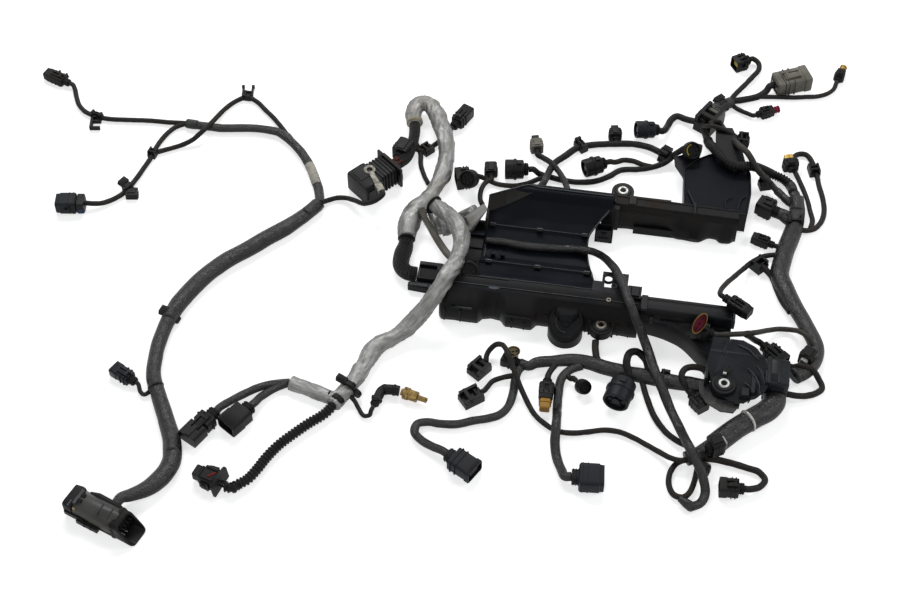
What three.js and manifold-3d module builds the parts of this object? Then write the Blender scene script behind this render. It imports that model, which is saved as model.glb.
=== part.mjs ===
import * as THREE from 'three';
import { mergeVertices } from 'three/addons/utils/BufferGeometryUtils.js';
import Module from 'manifold-3d';

// Engine wiring harness laid flat. Millimetres, +Z up. The housing is centred on the origin and stands on z = 0.

// Driving dimensions of the housing
const housingLength = 432;
const housingDepth = 362;
const wall = 3;
const fitGap = 0.4;
const leftEnd = -housingLength / 2;
const rightEnd = housingLength / 2;
const frontEdge = -housingDepth / 2;
const backEdge = housingDepth / 2;
const ductTop = 42;
const ductBackFace = -66.5;
const trayLeft = -139;
const trayRight = 6;
const rightDuctStart = 48.6;
const rightDuctTop = 45;
const shoulderTop = 30;
const bushBore = 5;
const bushWall = 4;
const bushRadius = bushBore + bushWall;
const bushClearance = 0.3;
const lugWall = 4;
const frontLug = { x: 8, y: -97, top: 20 };
const rearLug = { x: 13, y: 97, top: 28 };
const bracketLug = { x: 147, y: -162, top: 29 };

// Driving dimensions of the plugs
const seatGap = 0.3;
const grooveWidth = 1.6;
const grooveDepth = 6;
const shellWall = 2;
const latchHeight = 2.5;
const stepRadii = 6;

// Cord routes: radius and centreline points. A yaw turns the end of the lead into the plug seated there.
const routes = {
  trunkLeft: {
    radius: 7.5,
    points: [[-339, 39, 9], [-349, 24, 8], [-367, 1, 8], [-386, -19, 8], [-405, -40, 8], [-429, -65, 8],
      [-449, -95, 8], [-463, -124, 8], [-471, -154, 8], [-474, -180, 8], [-473, -206, 8], [-468, -234, 8],
      [-455, -260, 8], [-440, -288, 8], [-426, -316, 8], [-421, -338, 8], [-426, -359, 8], [-438, -377, 10],
      [-451, -388, 12], [-459.2, -394, 14], [-462.6, -403.3, 14]],
  },
  trunkUpper: {
    radius: 5,
    points: [[-339, 39, 9], [-344, 58, 6], [-355, 82, 6], [-367, 103, 6], [-381, 121, 6], [-396, 135, 6],
      [-413, 146, 6], [-434, 148, 6], [-458, 146, 6], [-483, 142, 6], [-505, 142, 6], [-528, 143, 6]],
  },
  leadP1: {
    radius: 3, endYaw: 160,
    points: [[-529, 144, 5], [-551, 143, 4], [-574, 142, 4], [-601, 139, 4], [-627, 137, 4], [-642, 139, 4],
      [-656, 144, 4], [-667, 154, 4], [-675, 168, 4], [-680, 179, 5], [-689, 187, 6]],
  },
  leadC3: {
    radius: 3, endYaw: 189,
    points: [[-526, 145, 5], [-539, 137, 4], [-549, 120, 4], [-554, 102, 4], [-556, 85, 4], [-560, 67, 4],
      [-564, 50, 4], [-569, 33, 4], [-575, 20, 4], [-585, 9, 4], [-597, 0, 6], [-615, -5, 9]],
  },
  leadFork: {
    radius: 3,
    points: [[-556, 90, 4], [-542, 98, 4], [-527, 107, 4], [-513, 115, 8], [-502, 126, 14], [-495, 149, 9],
      [-487, 176, 4], [-477, 191, 4], [-465, 200, 4], [-452, 195, 4], [-437, 182, 4], [-420, 166, 4],
      [-405, 149, 4], [-393, 134, 6]],
  },
  leadEdge: {
    radius: 2.5, endYaw: 153,
    points: [[-463, -247, 8], [-468, -252, 4], [-473, -257, 4], [-478, -254, 4], [-486, -244, 6]],
  },
  leadRing: {
    radius: 3, endYaw: 123,
    points: [[-339, 39, 9], [-331, 49, 4], [-322, 54, 4], [-311, 54, 6], [-298, 46, 13], [-285, 37, 20],
      [-272, 37, 27], [-266, 50, 30.2]],
  },
  loomBox: {
    radius: 7, startYaw: 230,
    points: [[-258, 110, 15], [-249, 124, 14], [-247, 137, 14], [-246, 150, 14], [-246.5, 163, 14],
      [-248.5, 177.2, 13]],
  },
  loomDrop: {
    radius: 3,
    points: [[-243, 151, 10], [-236, 141, 4], [-232, 122, 4], [-225, 105, 4], [-218, 93, 4]],
  },
  leadOpen: {
    radius: 3, endYaw: 65,
    points: [[-243, 143, 8], [-233, 144, 5], [-224, 153, 4], [-214, 168, 4], [-203, 186, 8]],
  },
  sleeveUpper: {
    radius: 9.5,
    points: [[-249, 179, 13], [-253, 195, 15], [-249, 208, 17], [-236, 209, 18], [-222, 190, 18],
      [-211, 165, 18], [-204, 143, 16], [-202, 124, 12], [-203, 102, 11], [-207, 84, 11], [-213, 65, 11],
      [-222, 48, 11], [-228, 30, 12], [-229, 15, 12], [-228, 2, 11]],
  },
  sleeveInner: {
    radius: 6.5,
    points: [[-212, 61, 9], [-203, 44, 8], [-196, 31, 8], [-190, 20, 8]],
  },
  sleeveShort: {
    radius: 7.5,
    points: [[-190, 19, 9], [-181, 24, 10], [-172, 33, 14], [-162, 38, 21], [-154, 38, 28]],
  },
  sleeveLong: {
    radius: 10,
    points: [[-203, 39, 31], [-191, 29, 34], [-177, 14, 39], [-164, -8, 45], [-159, -32, 50], [-160, -55, 54],
      [-164, -74, 57], [-170, -92, 55], [-180, -106, 43], [-190, -115, 28], [-202, -127, 16], [-215, -141, 12],
      [-229, -153, 11], [-238, -167, 11], [-242, -184, 11], [-248, -201, 11], [-254, -217, 11]],
  },
  sleeveTail: {
    radius: 7.5,
    points: [[-252, -211, 10], [-257, -222, 9], [-262, -231.5, 8], [-266.5, -240.5, 8]],
  },
  sleeveBranch: {
    radius: 6.5,
    points: [[-259, -225, 9], [-268, -231, 8], [-281, -229, 7], [-294, -225, 7], [-307, -222, 7],
      [-318, -219, 7]],
  },
  ribbedHose: {
    radius: 4.5, endYaw: -60,
    points: [[-217, 36, 27], [-211, 27, 19], [-202, 17, 13], [-191, 1, 12], [-178, -18, 15],
      [-160, -41.5, 21.3]],
  },
  braidedHose: {
    radius: 9,
    points: [[-228, 1.2, 11], [-227.2, -12, 10], [-229, -27, 10], [-227, -41, 10], [-219, -49, 10],
      [-208.2, -50, 10]],
  },
  leadTwinSocket: {
    radius: 4.2, endYaw: -118,
    points: [[-319.8, -218.6, 7], [-331, -220, 5], [-343, -224, 5], [-356, -232, 5], [-369, -243, 5],
      [-380, -254, 6], [-390, -268, 7]],
  },
  leadBoxSocket: {
    radius: 4.2, endYaw: -123,
    points: [[-321, -220, 7], [-330, -224, 5], [-339, -232, 5], [-347, -243, 7], [-354, -257, 9]],
  },
  conduit: {
    radius: 6, endYaw: 162,
    points: [[-266.8, -241.1, 8], [-271, -249.5, 7.4], [-277, -257, 7], [-287, -267, 7], [-299, -281, 7], [-313, -299, 7],
      [-323, -317, 7], [-330, -334, 7], [-337, -348, 7], [-345, -358, 8], [-358, -363, 9]],
  },
  leadSensor: {
    radius: 2.5, endYaw: 77,
    points: [[-250.4, -226.4, 8], [-245, -231, 6], [-239, -239, 4], [-232, -247, 4], [-226, -246, 5],
      [-224, -237, 7]],
  },
  trayCable: {
    radius: 4.5,
    points: [[-136, 4, 21], [-114, 4, 21], [-89, 2, 21], [-55, 4, 21], [-27, 6, 22], [-12, 2, 25],
      [2, -14, 36], [14, -36, 48], [25, -61, 55], [33, -82, 56], [41, -99, 53], [50, -107, 38],
      [58, -116, 24], [67, -137, 22], [74, -157, 23], [82, -172, 20], [93, -193, 14], [106, -220, 16],
      [115, -243, 24], [126, -262, 22], [134, -276, 16], [138, -289, 7], [134, -301, 6], [125, -307, 6]],
  },
  bundle: {
    radius: 11,
    points: [[203, -158.8, 14], [203, -168, 14], [196, -179, 13], [182, -191, 13], [166, -205, 13], [154, -218, 12], [143, -230, 12]],
  },
  bundleTail: {
    radius: 7.5,
    points: [[151, -220, 11], [139, -232, 9], [127, -244, 9], [115, -251, 9]],
  },
  bundleLoop: {
    radius: 3.2,
    points: [[117, -250, 8], [106, -255, 4], [100, -268, 4], [100, -283, 4], [106, -294, 4], [115, -296, 4],
      [122, -289, 4], [126, -274, 4], [128, -258, 6]],
  },
  leadLower: {
    radius: 3.6, endYaw: 184,
    points: [[134, -248, 10], [149, -244, 4], [165, -246, 4], [180, -249, 4], [192, -252, 4], [199, -261, 4],
      [194, -271, 5], [178, -278, 8]],
  },
  frontCable: {
    radius: 3,
    points: [[-112, -158, 7], [-112, -147, 8], [-105, -139, 14], [-96, -143, 22], [-87, -158, 25],
      [-79, -173, 20], [-71, -186, 12], [-61, -201, 5], [-49, -218, 4], [-36, -228, 4], [-24, -234, 4],
      [-7, -234, 4], [9, -230, 4], [26, -225, 4], [42, -225, 4], [58, -230, 4], [75, -238, 4],
      [87, -245, 6], [98, -253, 10], [110, -256, 12], [119, -252, 11]],
  },
  trunkFront: {
    radius: 7, startYaw: 165,
    points: [[-75, -154, 8], [-57, -151, 8], [-36, -145, 8], [-16, -141, 8], [1, -142, 8], [18, -146, 8],
      [36, -148, 8], [57, -150, 8], [77, -152, 8], [97, -153, 8], [114, -153, 8], [128, -154, 8]],
  },
  leadWide: {
    radius: 4.5, endYaw: 5,
    points: [[-7, -148, 9], [-19, -154, 7], [-27, -165, 5], [-28, -188, 5], [-27, -207, 7], [-26, -222, 13],
      [-25, -238, 13.5], [-24, -253, 8], [-19, -271, 5], [-13, -284, 6], [-2, -292, 9]],
  },
  leadFrontPlug: {
    radius: 4.2, endYaw: -29,
    points: [[-68, -153, 8], [-75, -163, 6], [-77, -176, 5], [-77, -193, 5], [-80, -212, 5], [-88, -224, 5],
      [-99, -230, 5], [-115, -236, 5], [-132, -243, 5], [-149, -245, 5], [-163, -245, 5], [-173, -250, 6],
      [-174, -261, 6], [-166, -269, 6], [-153, -276, 7], [-135, -284, 9]],
  },
  leadTwin: {
    radius: 3, endYaw: 220,
    points: [[-77.5, -170, 6], [-90, -174, 5], [-101, -180, 4], [-106, -190, 5], [-112, -199, 7]],
  },
  leadOrange: {
    radius: 3.5, endYaw: -88,
    points: [[-36, -151, 8], [-40, -158, 7], [-42, -171, 7]],
  },
  leadSmallDrum: {
    radius: 3, endYaw: -40,
    points: [[-23, -160, 6], [-17, -165, 6], [-11, -169, 9]],
  },
  leadDrum: {
    radius: 4, endYaw: -104,
    points: [[63, -153, 8], [65, -140, 9], [60, -129, 12], [51, -125, 16], [43, -131, 20], [41, -144, 20],
      [43, -160, 13]],
  },
  leadDuct: {
    radius: 4,
    points: [[4, -111.5, 9], [5, -121, 7], [8, -133, 7], [14, -144, 8]],
  },
  cableSecond: {
    radius: 3.5,
    points: [[60, -156, 6], [68, -178, 4], [78, -200, 4], [90, -216, 4], [102, -226, 5], [114, -232, 6]],
  },
  leadBracketPlug: {
    radius: 3.6, endYaw: -50,
    points: [[124, -154, 9], [130, -147, 14], [126, -139, 17], [116, -137, 18], [106, -140, 18],
      [102, -148, 17], [105, -157, 14], [114, -165, 7]],
  },
  rearA: {
    radius: 4,
    points: [[-85, 76.5, 36], [-81, 92, 30], [-79, 116, 16], [-73, 149, 5], [-61, 164, 5], [-49, 178, 5],
      [-31, 186, 5], [-3, 192, 5], [18, 195, 5], [36, 192, 6], [53, 183, 8], [65, 177, 12], [71, 173, 22],
      [78, 171, 33]],
  },
  rearB: {
    radius: 3.5, startYaw: 105,
    points: [[-96, 163, 7], [-87, 154, 6], [-77, 145, 9], [-67, 131, 12], [-57, 105, 24], [-49, 76, 36]],
  },
  rearC: {
    radius: 3.5, startYaw: 189,
    points: [[-102, 127, 13], [-89, 129, 5], [-77, 127, 4], [-61, 124, 4], [-40, 124, 4], [-21, 129, 4],
      [-6, 139, 4], [7, 151, 4], [28, 156, 4], [46, 162, 5], [60, 170, 8], [68, 176, 14]],
  },
  rearD: {
    radius: 3.2, startYaw: 209,
    points: [[-12, 153, 12], [-1, 161, 6], [9, 167, 5], [20, 168, 4], [32, 164, 4], [45, 161, 5]],
  },
  rearF: {
    radius: 3, startYaw: 199,
    points: [[-165, 108, 10], [-151, 111, 5], [-138, 106, 4], [-118, 105, 5], [-102, 111, 5],
      [-88, 121, 5], [-76, 127, 4]],
  },
  rearH: {
    radius: 3, startYaw: 100,
    points: [[-145, 114, 7], [-150, 105, 6], [-154, 92, 6], [-153, 77, 6], [-149, 67, 8]],
  },
  rearStub: {
    radius: 3,
    points: [[-2, 189, 5], [-4, 198, 7]],
  },
  rearE: {
    radius: 4, startYaw: 169,
    points: [[45, 217, 11.5], [56, 229, 7], [60, 243, 5], [66, 250, 5], [77, 246, 6], [88, 240, 10],
      [99, 238, 12]],
  },
  junction: {
    radius: 6.5,
    points: [[95, 238, 12], [105, 258, 9], [118, 273, 8], [132, 283, 7]],
  },
  leadRingPlug: {
    radius: 3.2, endYaw: 214,
    points: [[127, 281, 7], [137, 302, 5], [146, 317, 5], [155, 333, 5], [162, 347, 5], [161, 358, 6],
      [149, 360, 8]],
  },
  leadGrey: {
    radius: 4, endYaw: 26,
    points: [[129, 283, 7], [150, 293, 5], [165, 301, 5], [173, 309, 7], [182, 317, 11]],
  },
  leadTopSensor: {
    radius: 2.8, endYaw: 74,
    points: [[163, 299, 5], [175, 302, 4], [192, 304, 4], [208, 306, 4], [222, 309, 4], [235, 312, 4],
      [247, 318, 4], [256, 328, 4], [260, 341, 6]],
  },
  leadRed: {
    radius: 2.8, endYaw: 28,
    points: [[130, 280, 6], [140, 275, 4], [151, 269, 5], [163, 267, 6]],
  },
  leadClip: {
    radius: 2.8,
    points: [[98, 236, 9], [101, 224, 20], [110, 216, 30], [121, 213, 30], [132, 211, 27], [142, 208, 22]],
  },
  crossCord: {
    radius: 3.8,
    points: [[110, 256, 10], [121, 240, 8], [131, 216, 15], [142, 186, 34], [154, 163, 44], [167, 149, 34],
      [181, 147, 20], [192, 142, 11], [202, 133, 9]],
  },
  corrugatedTube: {
    radius: 5,
    points: [[106.2, 209.4, 12.2], [108.8, 199, 16], [111.5, 188, 24], [115.5, 174, 33], [124, 160, 36], [135, 152, 35], [147, 152, 34],
      [160, 157, 31], [173, 163, 21], [187, 167, 10], [200, 164, 7], [209, 155, 7], [213, 143, 8]],
  },
  tubeStub: {
    radius: 4.5,
    points: [[98, 236, 11], [103, 222, 9], [106, 210, 12]],
  },
  trunkRight: {
    radius: 8,
    points: [[216, 134, 9], [218, 112, 9], [215, 86, 9], [209, 61, 9], [204, 36, 9], [202, 14, 9],
      [209, -5, 9], [218, -24, 9], [229, -44, 9], [239, -64, 9], [246, -83, 9], [244, -101, 9],
      [235, -117, 10], [223, -128, 12]],
  },
  trunkTaper: {
    radius: 5.5,
    points: [[216, 133, 9], [214, 142.3, 8.4]],
  },
  trunkSide: {
    radius: 3.8,
    points: [[180, 26, 8], [193, 15, 5], [199, -1, 5], [206, -19, 6], [216, -37, 8]],
  },
  leadSideBox: {
    radius: 7, startYaw: 156,
    points: [[196, 107, 10], [203, 103, 10], [210, 98, 9]],
  },
  leadSidePlug: {
    radius: 3, startYaw: 162,
    points: [[194, 60, 6], [200, 58, 7], [207, 54, 9]],
  },
  arcLead: {
    radius: 3, endYaw: -33,
    points: [[203, 44, 9], [193, 46, 5], [183, 43, 4], [172, 33, 6], [160, 14, 12], [149, -8, 22],
      [139, -32, 36], [134, -50, 46], [138, -62, 52]],
  },
  greyLead: {
    radius: 3, startYaw: 172,
    points: [[131, -104, 38], [143, -105, 41], [154, -102, 40], [166, -94, 33], [179, -82, 22],
      [192, -68, 10], [206, -60, 5], [217, -60, 6], [226, -67, 14], [236, -75, 16], [244, -86, 13]],
  },
  leadEndPlug: {
    radius: 3.5, endYaw: -41,
    points: [[166, -94, 32], [173, -88, 20], [179, -84, 10], [188, -88, 8]],
  },
  leadBoxSide: {
    radius: 3.5,
    points: [[214.3, -110.8, 8], [221, -116, 12], [230, -117, 18], [241, -118, 16], [251, -124, 6],
      [255, -133, 4], [249, -141, 4], [238, -147, 5], [227, -150, 7], [217, -150, 8]],
  },
  outerLoop: {
    radius: 3.2,
    points: [[209, 198, 6], [216, 210, 4], [226, 211, 4], [234, 199, 4], [239, 183, 4], [243, 163, 4],
      [248, 143, 4], [250, 124, 4], [247, 106, 4], [239, 94, 4], [229, 89, 5], [220, 89, 7]],
  },
  innerCord: {
    radius: 3,
    points: [[212, 184, 5], [219, 168, 4], [225, 153, 4], [230, 138, 4], [234, 120, 4], [237, 106, 4],
      [235, 94, 4]],
  },
};

const looms = {
  left_loom: ['trunkLeft', 'trunkUpper', 'leadP1', 'leadC3', 'leadFork', 'leadEdge', 'leadRing'],
  box_loom: ['loomBox', 'loomDrop', 'leadOpen'],
  upper_sleeve: ['sleeveUpper', 'sleeveInner', 'sleeveShort'],
  long_sleeve: ['sleeveLong', 'sleeveTail', 'sleeveBranch'],
  ribbed_hose: ['ribbedHose'],
  braided_hose: ['braidedHose'],
  socket_leads: ['leadTwinSocket', 'leadBoxSocket'],
  conduit: ['conduit'],
  sensor_lead: ['leadSensor'],
  tray_cable: ['trayCable'],
  bundle_loom: ['bundle', 'bundleTail', 'bundleLoop', 'leadLower', 'frontCable'],
  front_loom: ['trunkFront', 'leadWide', 'leadFrontPlug', 'leadTwin', 'leadOrange', 'leadSmallDrum',
    'leadDrum', 'leadDuct', 'cableSecond', 'leadBracketPlug'],
  rear_loom: ['rearA', 'rearB', 'rearC', 'rearD', 'rearF', 'rearH', 'rearStub'],
  top_loom: ['junction', 'leadRingPlug', 'leadGrey', 'leadTopSensor', 'leadRed', 'leadClip', 'crossCord',
    'rearE', 'tubeStub'],
  corrugated_tube: ['corrugatedTube'],
  right_trunk: ['trunkRight', 'trunkTaper', 'trunkSide', 'leadSideBox', 'leadSidePlug', 'arcLead', 'greyLead',
    'leadEndPlug', 'leadBoxSide', 'outerLoop', 'innerCord'],
};

// Plugs: size along, across and up, and the lead whose end they sit on. bottom is the height they stand at.
const plugs = {
  flat_plug: { lead: 'leadP1', length: 36, width: 14, height: 12, wing: 7 },
  tall_plug: { lead: 'leadC3', length: 31, width: 20, height: 18, collar: true },
  edge_plug: { lead: 'leadEdge', length: 32, width: 16, height: 12, tongues: true },
  open_plug: { lead: 'leadOpen', length: 35, width: 16, height: 16, open: 16 },
  pin_connector: { lead: 'rearF', atStart: true, length: 22, width: 22, height: 20, collar: true },
  twin_plug: { lead: 'leadTwinSocket', length: 44, width: 20, height: 14, waist: true },
  box_plug: { lead: 'leadBoxSocket', length: 37, width: 24, height: 18, open: 16 },
  strip_plug: { lead: 'conduit', length: 36, width: 26, height: 18, collar: true },
  yellow_ring_plug: { lead: 'leadRingPlug', length: 22, width: 16, height: 16, collar: true },
  grey_connector: { lead: 'leadGrey', length: 45, width: 28, height: 22, open: 8 },
  red_tip_plug: { lead: 'leadRed', length: 30, width: 12, height: 12, tip: 8 },
  gold_tip_plug: { lead: 'leadTopSensor', length: 27, width: 12, height: 12, tip: 9 },
  side_box_plug: { lead: 'leadSideBox', atStart: true, length: 26, width: 20, height: 20 },
  side_plug: { lead: 'leadSidePlug', atStart: true, length: 27, width: 12, height: 12 },
  arc_plug: { lead: 'arcLead', bottom: 45.4, length: 35, width: 14, height: 13 },
  oval_connector: { lead: 'greyLead', atStart: true, bottom: 30.4, length: 24, width: 16, height: 15 },
  end_plug: { lead: 'leadEndPlug', length: 32, width: 18, height: 16, collar: true },
  front_plug: { lead: 'leadFrontPlug', length: 35, width: 26, height: 18, collar: true },
  wide_plug: { lead: 'leadWide', length: 32, width: 28, height: 18, collar: true },
  orange_tip_plug: { lead: 'leadOrange', length: 40, width: 16, height: 14, tip: 13 },
  beige_plug: { lead: 'trunkFront', atStart: true, length: 20, width: 18, height: 16 },
  bracket_plug: { lead: 'leadBracketPlug', length: 24, width: 16, height: 14 },
  lower_plug: { lead: 'leadLower', length: 26, width: 18, height: 16 },
};

const drums = {
  rear_drum_left: { lead: 'rearC', atStart: true, length: 28, radius: 13 },
  rear_drum_middle: { lead: 'rearD', atStart: true, length: 28, radius: 12 },
  rear_drum_top: { lead: 'rearE', atStart: true, length: 27, radius: 11.5 },
  front_drum: { lead: 'leadDrum', length: 36, radius: 13 },
  hex_connector: { lead: 'ribbedHose', bottom: 10.3, length: 16, radius: 11 },
};

// Small clips and plugs moulded or taped onto a loom: centre, yaw, size and height range.
const clips = {
  left_loom: [
    { x: -607, y: 5, yaw: 20, length: 10, width: 20, bottom: 0, top: 12 },
    { x: -640, y: 139, yaw: 75, length: 9, width: 14, bottom: 0, top: 11 },
    { x: -571, y: 30, yaw: 60, length: 10, width: 18, bottom: 0, top: 12 },
    { x: -465, y: 202, yaw: 0, length: 12, width: 10, bottom: 0, top: 9 },
    { x: -556, y: 90, yaw: 80, length: 12, width: 10, bottom: 0, top: 10 },
    { x: -474, y: -182, yaw: 0, length: 20, width: 10, bottom: 0, top: 18 },
    { x: -469, y: -236, yaw: 20, length: 20, width: 12, bottom: 0, top: 18 },
  ],
  box_loom: [
    { x: -256, y: 133, yaw: 70, length: 26, width: 20, bottom: 2, top: 24 },
    { x: -229, y: 148, yaw: 50, length: 14, width: 14, bottom: 0, top: 10 },
  ],
  long_sleeve: [
    { x: -253.5, y: -217.5, yaw: 65, length: 5, width: 22, bottom: 1, top: 21 },
  ],
  bundle_loom: [
    { x: -118, y: -167, yaw: 55, length: 22, width: 18, bottom: 0, top: 14 },
    { x: 144, y: -238, yaw: 30, length: 22, width: 18, bottom: 12, top: 32 },
    { x: 134, y: -259, yaw: 60, length: 18, width: 14, bottom: 0, top: 11 },
  ],
  front_loom: [
    { x: -121, y: -206, yaw: 40, length: 24, width: 18, bottom: 0, top: 14 },
    { x: 84, y: -152, yaw: -4, length: 12, width: 18, bottom: 0, top: 16 },
  ],
  rear_loom: [
    { x: -147, y: 124, yaw: 100, length: 20, width: 15, bottom: 0, top: 13 },
    { x: -98.5, y: 173.5, yaw: 105, length: 26, width: 15, bottom: 0, top: 14 },
    { x: -6, y: 207, yaw: 100, length: 22, width: 15, bottom: 0, top: 14 },
    { x: -50, y: 181, yaw: 40, length: 10, width: 18, bottom: 0, top: 12 },
    { x: 89, y: 169, yaw: -10, length: 24, width: 20, bottom: 24.7, top: 42 },
    { x: 56, y: 180, yaw: -30, length: 12, width: 14, bottom: 0, top: 16 },
  ],
  top_loom: [
    { x: 106, y: 245, yaw: 60, length: 34, width: 24, bottom: 0, top: 24 },
    { x: 148, y: 206, yaw: 0, length: 14, width: 14, bottom: 16, top: 30 },
    { x: 178, y: 147, yaw: 20, length: 14, width: 12, bottom: 8, top: 22 },
    { x: 119, y: 276, yaw: 45, length: 12, width: 16, bottom: 0, top: 16 },
  ],
  right_trunk: [
    { x: 207, y: 191, yaw: 105, length: 24, width: 18, bottom: 0, top: 16 },
    { x: 236, y: 187, yaw: 105, length: 16, width: 13, bottom: 0, top: 10 },
    { x: 236, y: -104, yaw: 60, length: 20, width: 16, bottom: 8, top: 26 },
    { x: 178, y: 28, yaw: -40, length: 16, width: 16, bottom: 0, top: 14 },
    { x: 216, y: 96, yaw: 95, length: 14, width: 19, bottom: 0, top: 19 },
  ],
};

const wasm = await Module();
wasm.setup();

function solidOf(geometry) {
  geometry.deleteAttribute('normal');
  geometry.deleteAttribute('uv');
  const merged = mergeVertices(geometry, 1e-4);
  return new wasm.Manifold(new wasm.Mesh({
    numProp: 3,
    vertProperties: new Float32Array(merged.attributes.position.array),
    triVerts: new Uint32Array(merged.index.array),
  }));
}

function geometryOf(solid) {
  const mesh = solid.getMesh();
  const geometry = new THREE.BufferGeometry();
  geometry.setAttribute('position', new THREE.BufferAttribute(new Float32Array(mesh.vertProperties), 3));
  geometry.setIndex(new THREE.BufferAttribute(new Uint32Array(mesh.triVerts), 1));
  const flat = geometry.toNonIndexed();
  flat.computeVertexNormals();
  return flat;
}

function outline(points) {
  return new THREE.Shape(points.map(([x, y]) => new THREE.Vector2(x, y)));
}

// A plan outline raised from bottom to top.
function prism(points, bottom, top) {
  const geometry = new THREE.ExtrudeGeometry(outline(points), { depth: top - bottom, bevelEnabled: false });
  geometry.translate(0, 0, bottom);
  return solidOf(geometry);
}

// A cross-section in y and z carried along x.
const alongXBasis = new THREE.Matrix4().makeBasis(
  new THREE.Vector3(0, 1, 0), new THREE.Vector3(0, 0, 1), new THREE.Vector3(1, 0, 0));

function alongX(points, start, end) {
  const geometry = new THREE.ExtrudeGeometry(outline(points), { depth: end - start, bevelEnabled: false });
  geometry.applyMatrix4(alongXBasis);
  geometry.translate(start, 0, 0);
  return solidOf(geometry);
}

function block(x0, x1, y0, y1, z0, z1) {
  return prism([[x0, y0], [x1, y0], [x1, y1], [x0, y1]], z0, z1);
}

function circle(radius, sides, x = 0, y = 0) {
  return Array.from({ length: sides }, (_, i) => {
    const angle = (i + 0.5) / sides * 2 * Math.PI;
    return [x + radius * Math.cos(angle), y + radius * Math.sin(angle)];
  });
}

function post(radius, x, y, bottom, top, sides = 20) {
  return prism(circle(radius, sides, x, y), bottom, top);
}

// The outline moved inward by a distance, corner by corner.
function inset(points, distance) {
  const area = points.reduce((sum, [x, y], i) => {
    const [u, v] = points[(i + 1) % points.length];
    return sum + x * v - u * y;
  }, 0);
  const side = Math.sign(area);
  return points.map((point, i) => {
    const before = points[(i + points.length - 1) % points.length];
    const after = points[(i + 1) % points.length];
    const a = new THREE.Vector2(point[0] - before[0], point[1] - before[1]).normalize();
    const b = new THREE.Vector2(after[0] - point[0], after[1] - point[1]).normalize();
    const reach = distance * side / (1 + a.dot(b));
    return [point[0] - (a.y + b.y) * reach, point[1] + (a.x + b.x) * reach];
  });
}

// A rectangle with cut corners, centred on y = 0 and standing on z = bottom.
function section(width, height, bottom = 0, corner = 0.16) {
  const cut = Math.min(width, height) * corner;
  const half = width / 2;
  const top = bottom + height;
  return [[-half + cut, bottom], [half - cut, bottom], [half, bottom + cut], [half, top - cut],
    [half - cut, top], [-half + cut, top], [-half, top - cut], [-half, bottom + cut]];
}

function heading(yaw) {
  const angle = THREE.MathUtils.degToRad(yaw);
  return new THREE.Vector3(Math.cos(angle), Math.sin(angle), 0);
}

// The centreline of a cord, straightened where a plug sits on its end.
function centreline({ radius, points, startYaw, endYaw }) {
  const line = points.map((point) => new THREE.Vector3(...point));
  if (startYaw !== undefined) {
    line.splice(1, 0, line[0].clone().addScaledVector(heading(startYaw), -radius * 1.5));
  }
  if (endYaw !== undefined) {
    const last = line[line.length - 1];
    line.splice(line.length - 1, 0, last.clone().addScaledVector(heading(endYaw), -radius * 1.5));
  }
  const curve = new THREE.CatmullRomCurve3(line, false, 'centripetal');
  curve.arcLengthDivisions = 400;
  return curve;
}

function cord(route) {
  const curve = centreline(route);
  const shape = outline(circle(route.radius, 8));
  const steps = Math.max(3, Math.min(60, Math.ceil(curve.getLength() / (stepRadii * route.radius))));
  const geometry = new THREE.ExtrudeGeometry(shape, { steps, extrudePath: curve, bevelEnabled: false });
  return solidOf(geometry);
}

function moved(solid, x, y, z, yaw) {
  return solid.rotate([0, 0, yaw]).translate([x, y, z]);
}

// Where a plug starts: just off the end of its lead, pointing away from it.
function seat({ lead, atStart, bottom = 0 }) {
  const route = routes[lead];
  const point = atStart ? route.points[0] : route.points[route.points.length - 1];
  const yaw = atStart ? route.startYaw : route.endYaw;
  const away = heading(yaw).multiplyScalar(seatGap);
  return { x: point[0] + away.x, y: point[1] + away.y, z: bottom, yaw };
}

function ringGroove(width, height, end) {
  const outer = alongX(section(width - 2 * shellWall, height - 2 * shellWall, shellWall), end - grooveDepth, end + 1);
  const edge = shellWall + grooveWidth;
  return outer.subtract(alongX(section(width - 2 * edge, height - 2 * edge, edge), end - grooveDepth - 1, end + 2));
}

function plug(spec) {
  const { length, width, height, tip = 0 } = spec;
  const end = length - tip;
  const boot = end * 0.22;
  let solid = block(0, boot + 1, -width * 0.36, width * 0.36, height * 0.13, height * 0.87);
  solid = solid.add(alongX(section(width, height), boot, end));
  if (spec.waist) {
    solid = solid.subtract(alongX(section(width + 2, 4, height - 3.2, 0.05), end * 0.42, end * 0.5));
    solid = solid.add(alongX(section(width + 4, height * 0.5, height * 0.2), end * 0.78, end * 0.9));
  }
  if (spec.collar) {
    solid = solid.add(alongX(section(width + 5, height * 0.62, height * 0.2), end * 0.42, end * 0.56));
  }
  if (spec.wing) {
    solid = solid.add(block(end * 0.4, end * 0.75, width / 2 - 1, width / 2 + spec.wing, 2, 6));
  }
  if (tip) {
    solid = solid.add(alongX(section(width * 0.66, height * 0.66, height * 0.17), end - 1, length));
    const rib = alongX(section(width * 0.8, height * 0.8, height * 0.1), end + tip * 0.4, end + tip * 0.65);
    solid = solid.add(rib);
  } else if (spec.open) {
    const mouth = section(width - 2 * shellWall, height - 2 * shellWall, shellWall);
    solid = solid.subtract(alongX(mouth, end - spec.open, end + 1));
  } else if (spec.tongues) {
    solid = solid.subtract(block(end - 10, end + 1, -2, 2, -1, height + 1));
  } else {
    solid = solid.subtract(ringGroove(width, height, end));
  }
  const latch = block(boot + 2, end * 0.7, -width * 0.18, width * 0.18, height - 1, height + latchHeight);
  return solid.add(latch);
}

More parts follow.
